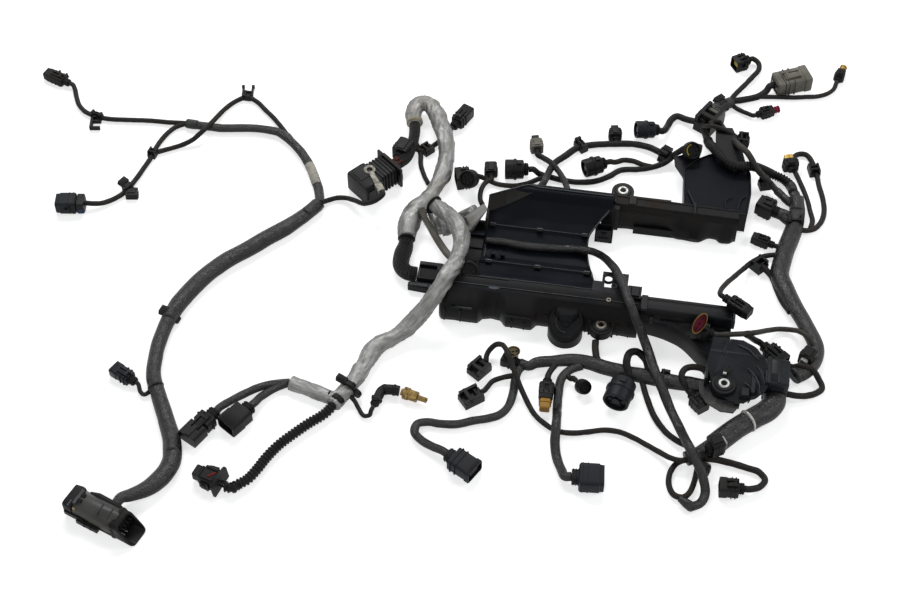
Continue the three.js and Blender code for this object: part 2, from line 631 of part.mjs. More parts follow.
function drum({ length, radius }) {
  const profile = [[0, 0], [radius * 0.55, 0], [radius * 0.55, length * 0.25], [radius * 0.86, length * 0.32],
    [radius * 0.86, length * 0.6], [radius, length * 0.62], [radius, length], [radius - shellWall, length],
    [radius - shellWall, length - grooveDepth], [radius - shellWall - grooveWidth, length - grooveDepth],
    [radius - shellWall - grooveWidth, length], [0, length]];
  const geometry = new THREE.LatheGeometry(profile.map(([r, h]) => new THREE.Vector2(r, h)), 12);
  geometry.rotateZ(-Math.PI / 2);
  geometry.translate(0, 0, radius);
  const latch = block(length * 0.3, length * 0.85, -radius * 0.3, radius * 0.3, radius, 2 * radius + latchHeight);
  return solidOf(geometry).add(latch);
}

function bush({ x, y, top }) {
  const body = post(bushRadius, x, y, top - 8, top).add(post(bushRadius + 1.5, x, y, top + bushClearance, top + 2));
  return body.add(post(bushRadius, x, y, top - 1, top + 1)).subtract(post(bushBore, x, y, top - 20, top + 20));
}

const bushHole = bushRadius + bushClearance;
const lugRadius = bushHole + lugWall;
const parts = {};

// Centre tray: a thin moulded trough on a rear wall, an end wall and a curved side wall
const trayTop = [[72, 48], [69, 51], [62, 51], [56, 40], [42, 25], [28, 19.5], [12, 16], [-14, 15], [-27, 20],
  [-48, 28], [-66, 40.5]];
const trayUnder = [[-66, 37], [-48, 24.5], [-28, 16.5], [-14, 11.5], [12, 12.5], [28, 15], [42, 20], [52, 30],
  [68, 44]];
const trayFront = ductBackFace + fitGap;
const trayPlan = [[trayLeft, trayFront], [0, trayFront], [-10, -27], [-18, 2], [-20, 27], [-8, 48],
  [trayRight, 57], [trayRight, 72], [-93, 72], [-103, 67], [trayLeft, 48]];
const trayShell = alongX([[72, 0], ...trayTop, ...trayUnder, [69, 0]], trayLeft - 5, trayRight + 5);
const trayBelow = alongX([[72, 0], ...trayTop, [-66, 0]], trayLeft - 5, trayRight + 5);
const trayRim = prism(trayPlan, -1, 60).subtract(prism(inset(trayPlan, 2.4), -2, 61));
const trayGap = block(trayLeft - 5, trayRight + 5, trayFront - 5, -50, -1, 25);
let tray = trayShell.intersect(prism(trayPlan, -1, 60)).add(trayRim.intersect(trayBelow).subtract(trayGap));
tray = tray.add(block(-14, 8, 40, 50, 0, 20));
for (const x of [trayLeft + 6, -75, -24]) {
  tray = tray.add(post(2.2, x, -28, 14, 22, 8)).add(post(2.2, x, 27, 14, 22, 8));
}
parts.center_tray = tray;

// Front duct: an inverted channel with moulded bulges, a round boss, the front lug and the left end plate
const ductSection = [[ductBackFace, 0], [ductBackFace, ductTop], [-84, ductTop], [-90, 36], [-95, 26], [-97, 10],
  [-95, 0], [-92, 0], [-94, 10], [-92, 25], [-87.5, 33.5], [-83, ductTop - wall],
  [ductBackFace - wall, ductTop - wall], [ductBackFace - wall, 0]];
let duct = alongX(ductSection, -174, rightDuctStart - fitGap);
duct = duct.add(prism([[-176, -90], [-172, -100], [-164, -103], [-136, -103], [-128, -97], [-128, -88],
  [-174, -86]], 0, 30));
duct = duct.add(prism([[-104, -90], [-100, -103], [-72, -103], [-66, -90]], 0, 24));
duct = duct.add(post(20, -31, -102, 0, 24)).subtract(
  post(15, -31, -102, 22.5, 26).subtract(post(11, -31, -102, 20, 28)));
duct = duct.add(block(3, 32, -68, -40, ductTop - wall, ductTop));
duct = duct.subtract(post(2.6, 8, -47, 30, 50, 10)).subtract(post(2.6, 18, -56, 30, 50, 10));
duct = duct.add(block(30, rightDuctStart - fitGap, -74, -56, ductTop - wall, ductTop + 4));
duct = duct.add(post(lugRadius, frontLug.x, frontLug.y, 0, frontLug.top));
duct = duct.subtract(post(lugRadius, frontLug.x, frontLug.y, frontLug.top, 36));
duct = duct.subtract(post(bushHole, frontLug.x, frontLug.y, -1, 40));
duct = duct.add(prism([[-207, -28], [-180, -28], [-162, -40], [-145, -44], [-145, -64], [-160, -70], [-190, -76],
  [-190, -68], [leftEnd, -68], [leftEnd, -60], [-207, -60]], 0, 10));
parts.front_duct = duct;

// Right duct: a shoulder that widens towards the front, under a narrow top channel
const shoulder = [[rightDuctStart, -68], [150, -68], [150, -131], [122, -129], [110, -113], [98, -100], [75, -91],
  [rightDuctStart, -86]];
const topStrip = [[rightDuctStart, -68], [153, -68], [153, -88], [rightDuctStart, -86]];
const rightShell = prism(shoulder, 0, shoulderTop).add(prism(topStrip, shoulderTop - 2, rightDuctTop));
const rightHollow = prism(inset(shoulder, wall), -1, shoulderTop - wall)
  .add(prism(inset(topStrip, wall), 10, rightDuctTop - wall));
parts.right_duct = rightShell.subtract(rightHollow)
  .add(block(60, 66, -92, -68, shoulderTop - 2, shoulderTop + 6))
  .add(post(6, 137, -118, shoulderTop - 1, shoulderTop + 3, 12));

// End bracket: a sloping plate on the bracket boss and the end box
const bracketPlan = [[130, -112], [158, -112], [175, -116], [192, -133], [197, -153], [190, -168],
  [163, frontEdge], [135, -170], [126, -143]];
const plateSlope = [[-100, 47.8], [-190, 19], [-190, 19 - wall], [-100, 47.8 - wall]];
let bracket = prism(bracketPlan, 0, 60).intersect(alongX(plateSlope, 100, 220));
bracket = bracket.add(post(lugRadius, bracketLug.x, bracketLug.y, 0, bracketLug.top));
bracket = bracket.subtract(post(lugRadius + 1, bracketLug.x, bracketLug.y, bracketLug.top, 60));
bracket = bracket.subtract(post(bushHole, bracketLug.x, bracketLug.y, -1, 60));
const endBox = [[190, -123], [190, -158], [rightEnd, -158], [rightEnd, -123]];
bracket = bracket.add(prism(endBox, 0, 35).subtract(prism(inset(endBox, wall), -1, 35 - wall)));
parts.end_bracket = bracket.add(block(128, 132, -158, -140, 22, 34));

// Rear duct: an inverted channel with the rear lug
const rearSection = [[63, 0], [66, 40], [80, 40], [80, 0], [77, 0], [77, 37], [68.7, 37], [66, 0]];
const rearStart = trayRight + fitGap;
let rear = alongX(rearSection, rearStart, 149);
rear = rear.subtract(alongX([[60, -1], [72, -1], [72, 14], [60, 10]], 118, 150));
rear = rear.add(prism([[24, 58], [40, 55], [74, 55], [88, 59], [88, 66], [24, 66]], 0, 16));
rear = rear.add(block(rearLug.x - 9, rearLug.x + 9, 78, 92, rearLug.top - 7, rearLug.top));
rear = rear.subtract(block(rearStart - 20, rearStart, 60, 80.1, -1, 60));
rear = rear.add(post(lugRadius, rearLug.x, rearLug.y, 0, rearLug.top));
parts.rear_duct = rear.subtract(post(bushHole, rearLug.x, rearLug.y, -1, 60));

// Rear panel: a shallow cover open below, with a raised rim
const panelPlan = [[86, 80 + fitGap], [158, 80 + fitGap], [161, 116], [159, 152], [148, 172], [132, backEdge], [112, 178],
  [95, 165], [82, 147], [84, 110]];
const panelOuter = [[80, 0], [80, 32], [190, 21], [190, 0]];
const panelInner = [[80, -1], [80, 32 - wall], [190, 21 - wall], [190, -1]];
const panelDish = [[80, 31], [80, 40], [190, 40], [190, 20]];
const panelSolid = prism(panelPlan, 0, 60).intersect(alongX(panelOuter, 70, 170));
const panelHollow = prism(inset(panelPlan, wall), -1, 60).intersect(alongX(panelInner, 70, 170));
parts.rear_panel = panelSolid.subtract(panelHollow)
  .subtract(prism(inset(panelPlan, 4), 0, 60).intersect(alongX(panelDish, 70, 170)));

parts.front_bush = bush(frontLug);
parts.rear_bush = bush(rearLug);
parts.bracket_bush = bush(bracketLug);

// Looms: the cords of each are joined with the small clips and plugs they carry
for (const [name, members] of Object.entries(looms)) {
  let loom = members.map((member) => cord(routes[member])).reduce((all, next) => all.add(next));
  for (const { x, y, yaw, length, width, bottom, top } of clips[name] ?? []) {
    loom = loom.add(moved(block(-length / 2, length / 2, -width / 2, width / 2, bottom, top), x, y, 0, yaw));
  }
  parts[name] = loom;
}

for (const [name, spec] of Object.entries(plugs)) {
  const { x, y, z, yaw } = seat(spec);
  parts[name] = moved(plug(spec), x, y, z, yaw);
}
for (const [name, spec] of Object.entries(drums)) {
  const { x, y, z, yaw } = seat(spec);
  parts[name] = moved(drum(spec), x, y, z, yaw);
}

// Big plug: a long cover whose cable enters from the side, with a lever end, a side bar and an open shroud
const cover = alongX([[-14, 4], [-11, 0], [11, 0], [14, 4], [14, 18], [9, 26], [-9, 26], [-14, 18]], 0, 58);
const shroud = alongX(section(25, 23, 1), 57, 84).subtract(alongX(section(20, 18, 3.5), 70, 85));
const lever = alongX(section(33, 15, 5), 3, 9).add(block(-3, 4, -12, 12, 6, 20));
const sideBar = block(16, 42, -18, -13, 3, 9);
parts.big_plug = moved(cover.add(shroud).add(lever).add(sideBar).subtract(block(12, 16, -15, -4, 18, 27)),
  -509, -402, 0, -20);

// Box connector: a ribbed box behind a wide flange
let box = alongX(section(32, 26, 2), 10, 62).add(alongX(section(20, 20, 5), 0, 12));
box = box.add(alongX(section(44, 30, 0), 10, 13));
for (const x of [24, 36]) {
  box = box.add(alongX(section(34, 28, 0.8), x, x + 4));
}
parts.box_connector = moved(box.subtract(ringGroove(32, 30, 62)), -258.3, 109.7, 0, 230);

// Ring eyelet: a flat tab with a ring, lying on the box connector
const eyelet = post(7, 37, 0, 29.2, 31.2).add(block(3, 34, -3, 3, 29.2, 31.2)).add(block(0, 12, -4, 4, 28, 32.4))
  .subtract(post(3.6, 37, 0, 20, 40));
parts.ring_eyelet = moved(eyelet, -266.2, 50.3, 0, 123);

// Elbow connector and the brass sensor that screws into it
const elbowHeight = 7;
const elbow = alongX(section(11, 11, 1.5), 0, 27).add(moved(alongX(section(13, 13, 0.5), 0, 24), 27, 4, 0, -82));
parts.elbow_connector = moved(elbow, -223.9, -236.7, 0, 77);
const sensorProfile = [[0, 0], [4, 0], [4, 3], [7, 3], [7, 9], [6, 9], [6, 19], [3, 20], [3, 30], [0, 31]];
const sensor = new THREE.LatheGeometry(sensorProfile.map(([r, h]) => new THREE.Vector2(r, h)), 12);
sensor.rotateZ(-Math.PI / 2);
sensor.translate(0, 0, elbowHeight);
parts.brass_sensor = moved(solidOf(sensor), -196.9, -211.7, 0, -14);

const colours = {
  housing: 0x17181c, loom: 0x141416, sleeve: 0x9a9b98, hose: 0x4b463f, plug: 0x101113, metal: 0xb08d4a,
  steel: 0xb4b6b8, tan: 0x9c8b6e, grey: 0x6a6a60,
};
const finishes = {
  center_tray: 'housing', front_duct: 'housing', right_duct: 'housing', end_bracket: 'housing',
  rear_duct: 'housing', rear_panel: 'housing', upper_sleeve: 'sleeve', long_sleeve: 'sleeve',
  ribbed_hose: 'hose', front_bush: 'steel', rear_bush: 'steel', bracket_bush: 'steel', ring_eyelet: 'steel',
  brass_sensor: 'metal', beige_plug: 'tan', grey_connector: 'grey',
};

const harness = new THREE.Group();
harness.name = 'wiring_harness';
for (const [name, solid] of Object.entries(parts)) {
  const finish = finishes[name] ?? (looms[name] ? 'loom' : 'plug');
  const metalness = finish === 'steel' || finish === 'metal' || finish === 'sleeve' ? 0.8 : 0;
  const material = new THREE.MeshStandardMaterial({ color: colours[finish], roughness: 0.5, metalness });
  material.name = finish;
  const mesh = new THREE.Mesh(geometryOf(solid), material);
  mesh.name = name;
  harness.add(mesh);
}

export default harness;
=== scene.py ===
import bpy
import math
import numpy as np
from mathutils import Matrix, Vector

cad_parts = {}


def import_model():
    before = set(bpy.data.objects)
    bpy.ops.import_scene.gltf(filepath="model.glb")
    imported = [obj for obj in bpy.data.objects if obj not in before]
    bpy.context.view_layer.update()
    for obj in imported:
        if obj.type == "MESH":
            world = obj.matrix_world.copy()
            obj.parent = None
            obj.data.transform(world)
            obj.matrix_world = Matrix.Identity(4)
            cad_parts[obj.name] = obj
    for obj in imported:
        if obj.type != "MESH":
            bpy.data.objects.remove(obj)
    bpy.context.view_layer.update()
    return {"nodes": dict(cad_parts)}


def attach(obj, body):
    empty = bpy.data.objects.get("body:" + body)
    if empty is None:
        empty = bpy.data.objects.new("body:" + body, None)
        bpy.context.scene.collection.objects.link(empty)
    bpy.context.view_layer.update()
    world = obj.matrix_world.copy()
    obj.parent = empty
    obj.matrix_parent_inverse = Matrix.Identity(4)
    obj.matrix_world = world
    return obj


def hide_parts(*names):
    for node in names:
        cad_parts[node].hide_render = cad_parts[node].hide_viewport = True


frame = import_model()
mm = 0.001

# Camera, set to the photo's view
cameraData = bpy.data.cameras.new("camera")
cameraData.lens = 70
cameraData.sensor_width = 36
cameraData.sensor_fit = "HORIZONTAL"
cameraData.clip_end = 20
camera = bpy.data.objects.new("camera", cameraData)
bpy.context.collection.objects.link(camera)
cameraSpot = Vector((0.02862, -1.28416, 1.57602))
cameraAim = Vector((-0.164, -0.068, 0.0))
camera.location = cameraSpot
camera.rotation_euler = (cameraAim - cameraSpot).to_track_quat("-Z", "Y").to_euler()
bpy.context.scene.camera = camera

# Cord routes in millimetres; a yaw turns the end of the lead into the plug seated there
routes = {
    "trunkLeft": {"radius": 7.5, "points": [
        (-339, 39, 9), (-349, 24, 8), (-367, 1, 8), (-386, -19, 8), (-405, -40, 8), (-429, -65, 8),
        (-449, -95, 8), (-463, -124, 8), (-471, -154, 8), (-474, -180, 8), (-473, -206, 8),
        (-468, -234, 8), (-455, -260, 8), (-440, -288, 8), (-426, -316, 8), (-421, -338, 8),
        (-426, -359, 8), (-438, -377, 10), (-451, -388, 12), (-459.2, -394, 14),
        (-462.6, -403.3, 14)]},
    "trunkUpper": {"radius": 5, "points": [
        (-339, 39, 9), (-344, 58, 6), (-355, 82, 6), (-367, 103, 6), (-381, 121, 6),
        (-396, 135, 6), (-413, 146, 6), (-434, 148, 6), (-458, 146, 6), (-483, 142, 6),
        (-505, 142, 6), (-528, 143, 6)]},
    "leadP1": {"radius": 3, "endYaw": 160, "points": [
        (-529, 144, 5), (-551, 143, 4), (-574, 142, 4), (-601, 139, 4), (-627, 137, 4),
        (-642, 139, 4), (-656, 144, 4), (-667, 154, 4), (-675, 168, 4), (-680, 179, 5),
        (-689, 187, 6)]},
    "leadC3": {"radius": 3, "endYaw": 189, "points": [
        (-526, 145, 5), (-539, 137, 4), (-549, 120, 4), (-554, 102, 4), (-556, 85, 4),
        (-560, 67, 4), (-564, 50, 4), (-569, 33, 4), (-575, 20, 4), (-585, 9, 4), (-597, 0, 6),
        (-615, -5, 9)]},
    "leadFork": {"radius": 3, "points": [
        (-556, 90, 4), (-542, 98, 4), (-527, 107, 4), (-513, 115, 8), (-502, 126, 14),
        (-495, 149, 9), (-487, 176, 4), (-477, 191, 4), (-465, 200, 4), (-452, 195, 4),
        (-437, 182, 4), (-420, 166, 4), (-405, 149, 4), (-393, 134, 6)]},
    "leadEdge": {"radius": 2.5, "endYaw": 153, "points": [
        (-463, -247, 8), (-468, -252, 4), (-473, -257, 4), (-478, -254, 4), (-486, -244, 6)]},
    "leadRing": {"radius": 3, "endYaw": 123, "points": [
        (-339, 39, 9), (-331, 49, 4), (-322, 54, 4), (-311, 54, 6), (-298, 46, 13), (-285, 37, 20),
        (-272, 37, 27), (-266, 50, 30.2)]},
    "loomBox": {"radius": 7, "startYaw": 230, "points": [
        (-258, 110, 15), (-249, 124, 14), (-247, 137, 14), (-246, 150, 14), (-246.5, 163, 14),
        (-248.5, 177.2, 13)]},
    "loomDrop": {"radius": 3, "points": [
        (-243, 151, 10), (-236, 141, 4), (-232, 122, 4), (-225, 105, 4), (-218, 93, 4)]},
    "leadOpen": {"radius": 3, "endYaw": 65, "points": [
        (-243, 143, 8), (-233, 144, 5), (-224, 153, 4), (-214, 168, 4), (-203, 186, 8)]},
    "sleeveUpper": {"radius": 9.5, "points": [
        (-249, 179, 13), (-253, 195, 15), (-249, 208, 17), (-236, 209, 18), (-222, 190, 18),
        (-211, 165, 18), (-204, 143, 16), (-202, 124, 12), (-203, 102, 11), (-207, 84, 11),
        (-213, 65, 11), (-222, 48, 11), (-228, 30, 12), (-229, 15, 12), (-228, 2, 11)]},
    "sleeveInner": {"radius": 6.5, "points": [
        (-212, 61, 9), (-203, 44, 8), (-196, 31, 8), (-190, 20, 8)]},
    "sleeveShort": {"radius": 7.5, "points": [
        (-190, 19, 9), (-181, 24, 10), (-172, 33, 14), (-162, 38, 21), (-154, 38, 28)]},
    "sleeveLong": {"radius": 10, "points": [
        (-203, 39, 31), (-191, 29, 34), (-177, 14, 39), (-164, -8, 45), (-159, -32, 50),
        (-160, -55, 54), (-164, -74, 57), (-170, -92, 55), (-180, -106, 43), (-190, -115, 28),
        (-202, -127, 16), (-215, -141, 12), (-229, -153, 11), (-238, -167, 11), (-242, -184, 11),
        (-248, -201, 11), (-254, -217, 11)]},
    "sleeveTail": {"radius": 7.5, "points": [
        (-252, -211, 10), (-257, -222, 9), (-262, -231.5, 8), (-266.5, -240.5, 8)]},
    "sleeveBranch": {"radius": 6.5, "points": [
        (-259, -225, 9), (-268, -231, 8), (-281, -229, 7), (-294, -225, 7), (-307, -222, 7),
        (-318, -219, 7)]},
    "ribbedHose": {"radius": 4.5, "endYaw": -60, "points": [
        (-217, 36, 27), (-211, 27, 19), (-202, 17, 13), (-191, 1, 12), (-178, -18, 15),
        (-160, -41.5, 21.3)]},
    "braidedHose": {"radius": 9, "points": [
        (-228, 1.2, 11), (-227.2, -12, 10), (-229, -27, 10), (-227, -41, 10), (-219, -49, 10),
        (-208.2, -50, 10)]},
    "leadTwinSocket": {"radius": 4.2, "endYaw": -118, "points": [
        (-319.8, -218.6, 7), (-331, -220, 5), (-343, -224, 5), (-356, -232, 5), (-369, -243, 5),
        (-380, -254, 6), (-390, -268, 7)]},
    "leadBoxSocket": {"radius": 4.2, "endYaw": -123, "points": [
        (-321, -220, 7), (-330, -224, 5), (-339, -232, 5), (-347, -243, 7), (-354, -257, 9)]},
    "conduit": {"radius": 6, "endYaw": 178, "points": [
        (-266.8, -241.1, 8), (-271, -249.5, 7.4), (-277, -257, 7), (-287, -267, 7),
        (-299, -281, 7), (-313, -299, 7), (-323, -317, 7), (-330, -334, 7), (-337, -347, 7),
        (-346, -356, 7.6), (-358, -360, 8.4)]},
    "leadSensor": {"radius": 2.5, "endYaw": 77, "points": [
        (-250.4, -226.4, 8), (-245, -231, 6), (-239, -239, 4), (-232, -247, 4), (-226, -246, 5),
        (-224, -237, 7)]},
    "trayCable": {"radius": 4.5, "points": [
        (-136, 4, 21), (-114, 4, 21), (-89, 2, 21), (-55, 4, 21), (-27, 6, 22), (-12, 2, 25),
        (2, -14, 36), (14, -36, 48), (25, -61, 55), (33, -82, 56), (41, -99, 53), (50, -107, 38),
        (58, -116, 24), (67, -137, 22), (74, -157, 23), (82, -172, 20), (93, -193, 14),
        (106, -220, 16), (115, -243, 24), (126, -262, 22), (134, -276, 16), (138, -289, 7),
        (134, -301, 6), (125, -307, 6)]},
    "bundle": {"radius": 11, "points": [
        (203, -158.8, 14), (203, -168, 14), (196, -179, 13), (182, -191, 13), (166, -205, 13),
        (154, -218, 12), (143, -230, 12)]},
    "bundleTail": {"radius": 7.5, "points": [
        (151, -220, 11), (139, -232, 9), (127, -244, 9), (115, -251, 9)]},
    "bundleLoop": {"radius": 3.2, "points": [
        (117, -250, 8), (106, -255, 4), (100, -268, 4), (100, -283, 4), (106, -294, 4),
        (115, -296, 4), (122, -289, 4), (126, -274, 4), (128, -258, 6)]},
    "leadLower": {"radius": 3.6, "endYaw": 184, "points": [
        (134, -248, 10), (149, -244, 4), (165, -246, 4), (180, -249, 4), (192, -252, 4),
        (199, -261, 4), (194, -271, 5), (178, -278, 8)]},
    "frontCable": {"radius": 3, "points": [
        (-112, -158, 7), (-112, -147, 8), (-105, -139, 14), (-96, -143, 22), (-87, -158, 25),
        (-79, -173, 20), (-71, -186, 12), (-61, -201, 5), (-49, -218, 4), (-36, -228, 4),
        (-24, -234, 4), (-7, -234, 4), (9, -230, 4), (26, -225, 4), (42, -225, 4), (58, -230, 4),
        (75, -238, 4), (87, -245, 6), (98, -253, 10), (110, -256, 12), (119, -252, 11)]},
    "trunkFront": {"radius": 7, "startYaw": 165, "points": [
        (-75, -154, 8), (-57, -151, 8), (-36, -145, 8), (-16, -141, 8), (1, -142, 8),
        (18, -146, 8), (36, -148, 8), (57, -150, 8), (77, -152, 8), (97, -153, 8), (114, -153, 8),
        (128, -154, 8)]},
    "leadWide": {"radius": 4.5, "endYaw": 5, "points": [
        (-7, -148, 9), (-19, -154, 7), (-27, -165, 5), (-28, -188, 5), (-27, -207, 7),
        (-26, -222, 13), (-25, -238, 13.5), (-24, -253, 8), (-19, -271, 5), (-13, -284, 6),
        (-2, -292, 9)]},
    "leadFrontPlug": {"radius": 4.2, "endYaw": -29, "points": [
        (-68, -153, 8), (-75, -163, 6), (-77, -176, 5), (-77, -193, 5), (-80, -212, 5),
        (-88, -224, 5), (-99, -230, 5), (-115, -236, 5), (-132, -243, 5), (-149, -245, 5),
        (-163, -245, 5), (-173, -250, 6), (-174, -261, 6), (-166, -269, 6), (-153, -276, 7),
        (-135, -284, 9)]},
    "leadTwin": {"radius": 3, "endYaw": 220, "points": [
        (-77.5, -170, 6), (-90, -174, 5), (-101, -180, 4), (-106, -190, 5), (-112, -199, 7)]},
    "leadOrange": {"radius": 3.5, "endYaw": -88, "points": [
        (-36, -151, 8), (-40, -158, 7), (-42, -171, 7)]},
    "leadSmallDrum": {"radius": 3, "endYaw": -40, "points": [
        (-23, -160, 6), (-17, -165, 6), (-11, -169, 9)]},
    "leadDrum": {"radius": 4, "endYaw": -104, "points": [
        (63, -153, 8), (65, -140, 9), (60, -129, 12), (51, -125, 16), (43, -131, 20),
        (41, -144, 20), (43, -160, 13)]},
    "leadDuct": {"radius": 4, "points": [
        (4, -111.5, 9), (5, -121, 7), (8, -133, 7), (14, -144, 8)]},
    "cableSecond": {"radius": 3.5, "points": [
        (60, -156, 6), (68, -178, 4), (78, -200, 4), (90, -216, 4), (102, -226, 5),
        (114, -232, 6)]},
    "leadBracketPlug": {"radius": 3.6, "endYaw": -50, "points": [
        (124, -154, 9), (130, -147, 14), (126, -139, 17), (116, -137, 18), (106, -140, 18),
        (102, -148, 17), (105, -157, 14), (114, -165, 7)]},
    "rearA": {"radius": 4, "points": [
        (-85, 76.5, 36), (-81, 92, 30), (-79, 116, 16), (-73, 149, 5), (-61, 164, 5),
        (-49, 178, 5), (-31, 186, 5), (-3, 192, 5), (18, 195, 5), (36, 192, 6), (53, 183, 8),
        (65, 177, 12), (71, 173, 22), (78, 171, 33)]},
    "rearB": {"radius": 3.5, "startYaw": 105, "points": [
        (-96, 163, 7), (-87, 154, 6), (-77, 145, 9), (-67, 131, 12), (-57, 105, 24),
        (-49, 76, 36)]},
    "rearC": {"radius": 3.5, "startYaw": 189, "points": [
        (-102, 127, 13), (-89, 129, 5), (-77, 127, 4), (-61, 124, 4), (-40, 124, 4), (-21, 129, 4),
        (-6, 139, 4), (7, 151, 4), (28, 156, 4), (46, 162, 5), (60, 170, 8), (68, 176, 14)]},
    "rearD": {"radius": 3.2, "startYaw": 209, "points": [
        (-12, 153, 12), (-1, 161, 6), (9, 167, 5), (20, 168, 4), (32, 164, 4), (45, 161, 5)]},
    "rearF": {"radius": 3, "startYaw": 199, "points": [
        (-165, 108, 10), (-151, 111, 5), (-138, 106, 4), (-118, 105, 5), (-102, 111, 5),
        (-88, 121, 5), (-76, 127, 4)]},
    "rearH": {"radius": 3, "startYaw": 100, "points": [
        (-145, 114, 7), (-150, 105, 6), (-154, 92, 6), (-153, 77, 6), (-149, 67, 8)]},
    "rearStub": {"radius": 3, "points": [
        (-2, 189, 5), (-4, 198, 7)]},
    "rearE": {"radius": 4, "startYaw": 169, "points": [
        (45, 217, 11.5), (56, 229, 7), (60, 243, 5), (66, 250, 5), (77, 246, 6), (88, 240, 10),
        (99, 238, 12)]},
    "junction": {"radius": 6.5, "points": [
        (95, 238, 12), (105, 258, 9), (118, 273, 8), (132, 283, 7)]},
    "leadRingPlug": {"radius": 3.2, "endYaw": 214, "points": [
        (127, 281, 7), (137, 302, 5), (146, 317, 5), (155, 333, 5), (162, 347, 5), (161, 358, 6),
        (149, 360, 8)]},
    "leadGrey": {"radius": 4, "endYaw": 26, "points": [
        (129, 283, 7), (150, 293, 5), (165, 301, 5), (173, 309, 7), (182, 317, 11)]},
    "leadTopSensor": {"radius": 2.8, "endYaw": 74, "points": [
        (163, 299, 5), (175, 302, 4), (192, 304, 4), (208, 306, 4), (222, 309, 4), (235, 312, 4),
        (247, 318, 4), (256, 328, 4), (260, 341, 6)]},
    "leadRed": {"radius": 2.8, "endYaw": 28, "points": [
        (130, 280, 6), (140, 275, 4), (151, 269, 5), (163, 267, 6)]},
    "leadClip": {"radius": 2.8, "points": [
        (98, 236, 9), (101, 224, 20), (110, 216, 30), (121, 213, 30), (132, 211, 27),
        (142, 208, 22)]},
    "crossCord": {"radius": 3.8, "points": [
        (110, 256, 10), (121, 240, 8), (131, 216, 15), (142, 186, 34), (154, 163, 44),
        (167, 149, 34), (181, 147, 20), (192, 142, 11), (202, 133, 9)]},
    "corrugatedTube": {"radius": 5, "points": [
        (106.2, 209.4, 12.2), (108.8, 199, 16), (111.5, 188, 24), (115.5, 174, 33), (124, 160, 36),
        (135, 152, 35), (147, 152, 34), (160, 157, 31), (173, 163, 21), (187, 167, 10),
        (200, 164, 7), (209, 155, 7), (213, 143, 8)]},
    "tubeStub": {"radius": 4.5, "points": [
        (98, 236, 11), (103, 222, 9), (106, 210, 12)]},
    "trunkRight": {"radius": 8, "points": [
        (216, 134, 9), (218, 112, 9), (215, 86, 9), (209, 61, 9), (204, 36, 9), (202, 14, 9),
        (209, -5, 9), (218, -24, 9), (229, -44, 9), (239, -64, 9), (246, -83, 9), (244, -101, 9),
        (235, -117, 10), (223, -128, 12)]},
    "trunkTaper": {"radius": 5.5, "points": [
        (216, 133, 9), (214, 142.3, 8.4)]},
    "trunkSide": {"radius": 3.8, "points": [
        (180, 26, 8), (193, 15, 5), (199, -1, 5), (206, -19, 6), (216, -37, 8)]},
    "leadSideBox": {"radius": 7, "startYaw": 156, "points": [
        (196, 107, 10), (203, 103, 10), (210, 98, 9)]},
    "leadSidePlug": {"radius": 3, "startYaw": 162, "points": [
        (194, 60, 6), (200, 58, 7), (207, 54, 9)]},
    "arcLead": {"radius": 3, "endYaw": -33, "points": [
        (203, 44, 9), (193, 46, 5), (183, 43, 4), (172, 33, 6), (160, 14, 12), (149, -8, 22),
        (139, -32, 36), (134, -50, 46), (138, -62, 52)]},
    "greyLead": {"radius": 3, "startYaw": 172, "points": [
        (131, -104, 38), (143, -105, 41), (154, -102, 40), (166, -94, 33), (179, -82, 22),
        (192, -68, 10), (206, -60, 5), (217, -60, 6), (226, -67, 14), (236, -75, 16),
        (244, -86, 13)]},
    "leadEndPlug": {"radius": 3.5, "endYaw": -41, "points": [
        (166, -94, 32), (173, -88, 20), (179, -84, 10), (188, -88, 8)]},
    "leadBoxSide": {"radius": 3.5, "points": [
        (214.3, -110.8, 8), (221, -116, 12), (230, -117, 18), (241, -118, 16), (251, -124, 6),
        (255, -133, 4), (249, -141, 4), (238, -147, 5), (227, -150, 7), (217, -150, 8)]},
    "outerLoop": {"radius": 3.2, "points": [
        (209, 198, 6), (216, 210, 4), (226, 211, 4), (234, 199, 4), (239, 183, 4), (243, 163, 4),
        (248, 143, 4), (250, 124, 4), (247, 106, 4), (239, 94, 4), (229, 89, 5), (220, 89, 7)]},
    "innerCord": {"radius": 3, "points": [
        (212, 184, 5), (219, 168, 4), (225, 153, 4), (230, 138, 4), (234, 120, 4), (237, 106, 4),
        (235, 94, 4)]},
}

# Looms and the routes fused in each
looms = {
    "left_loom": "trunkLeft trunkUpper leadP1 leadC3 leadFork leadEdge leadRing",
    "box_loom": "loomBox loomDrop leadOpen",
    "upper_sleeve": "sleeveUpper sleeveInner sleeveShort",
    "long_sleeve": "sleeveLong sleeveTail sleeveBranch",
    "ribbed_hose": "ribbedHose",
    "braided_hose": "braidedHose",
    "socket_leads": "leadTwinSocket leadBoxSocket",
    "conduit": "conduit",
    "sensor_lead": "leadSensor",
    "tray_cable": "trayCable",
    "bundle_loom": "bundle bundleTail bundleLoop leadLower frontCable",
    "front_loom": "trunkFront leadWide leadFrontPlug leadTwin leadOrange leadSmallDrum leadDrum leadDuct "
                  "cableSecond leadBracketPlug",
    "rear_loom": "rearA rearB rearC rearD rearF rearH rearStub",
    "top_loom": "junction leadRingPlug leadGrey leadTopSensor leadRed leadClip crossCord rearE tubeStub",
    "corrugated_tube": "corrugatedTube",
    "right_trunk": "trunkRight trunkTaper trunkSide leadSideBox leadSidePlug arcLead greyLead leadEndPlug "
                   "leadBoxSide outerLoop innerCord",
}


def heading(yaw):
    return np.array([math.cos(math.radians(yaw)), math.sin(math.radians(yaw)), 0.0])


def circle(sides):
    return np.linspace(0, 2 * np.pi, sides, endpoint=False)


def distances(points):
    # distance along a line of points
    return np.concatenate([[0], np.cumsum(np.linalg.norm(np.diff(points, axis=0), axis=1))])


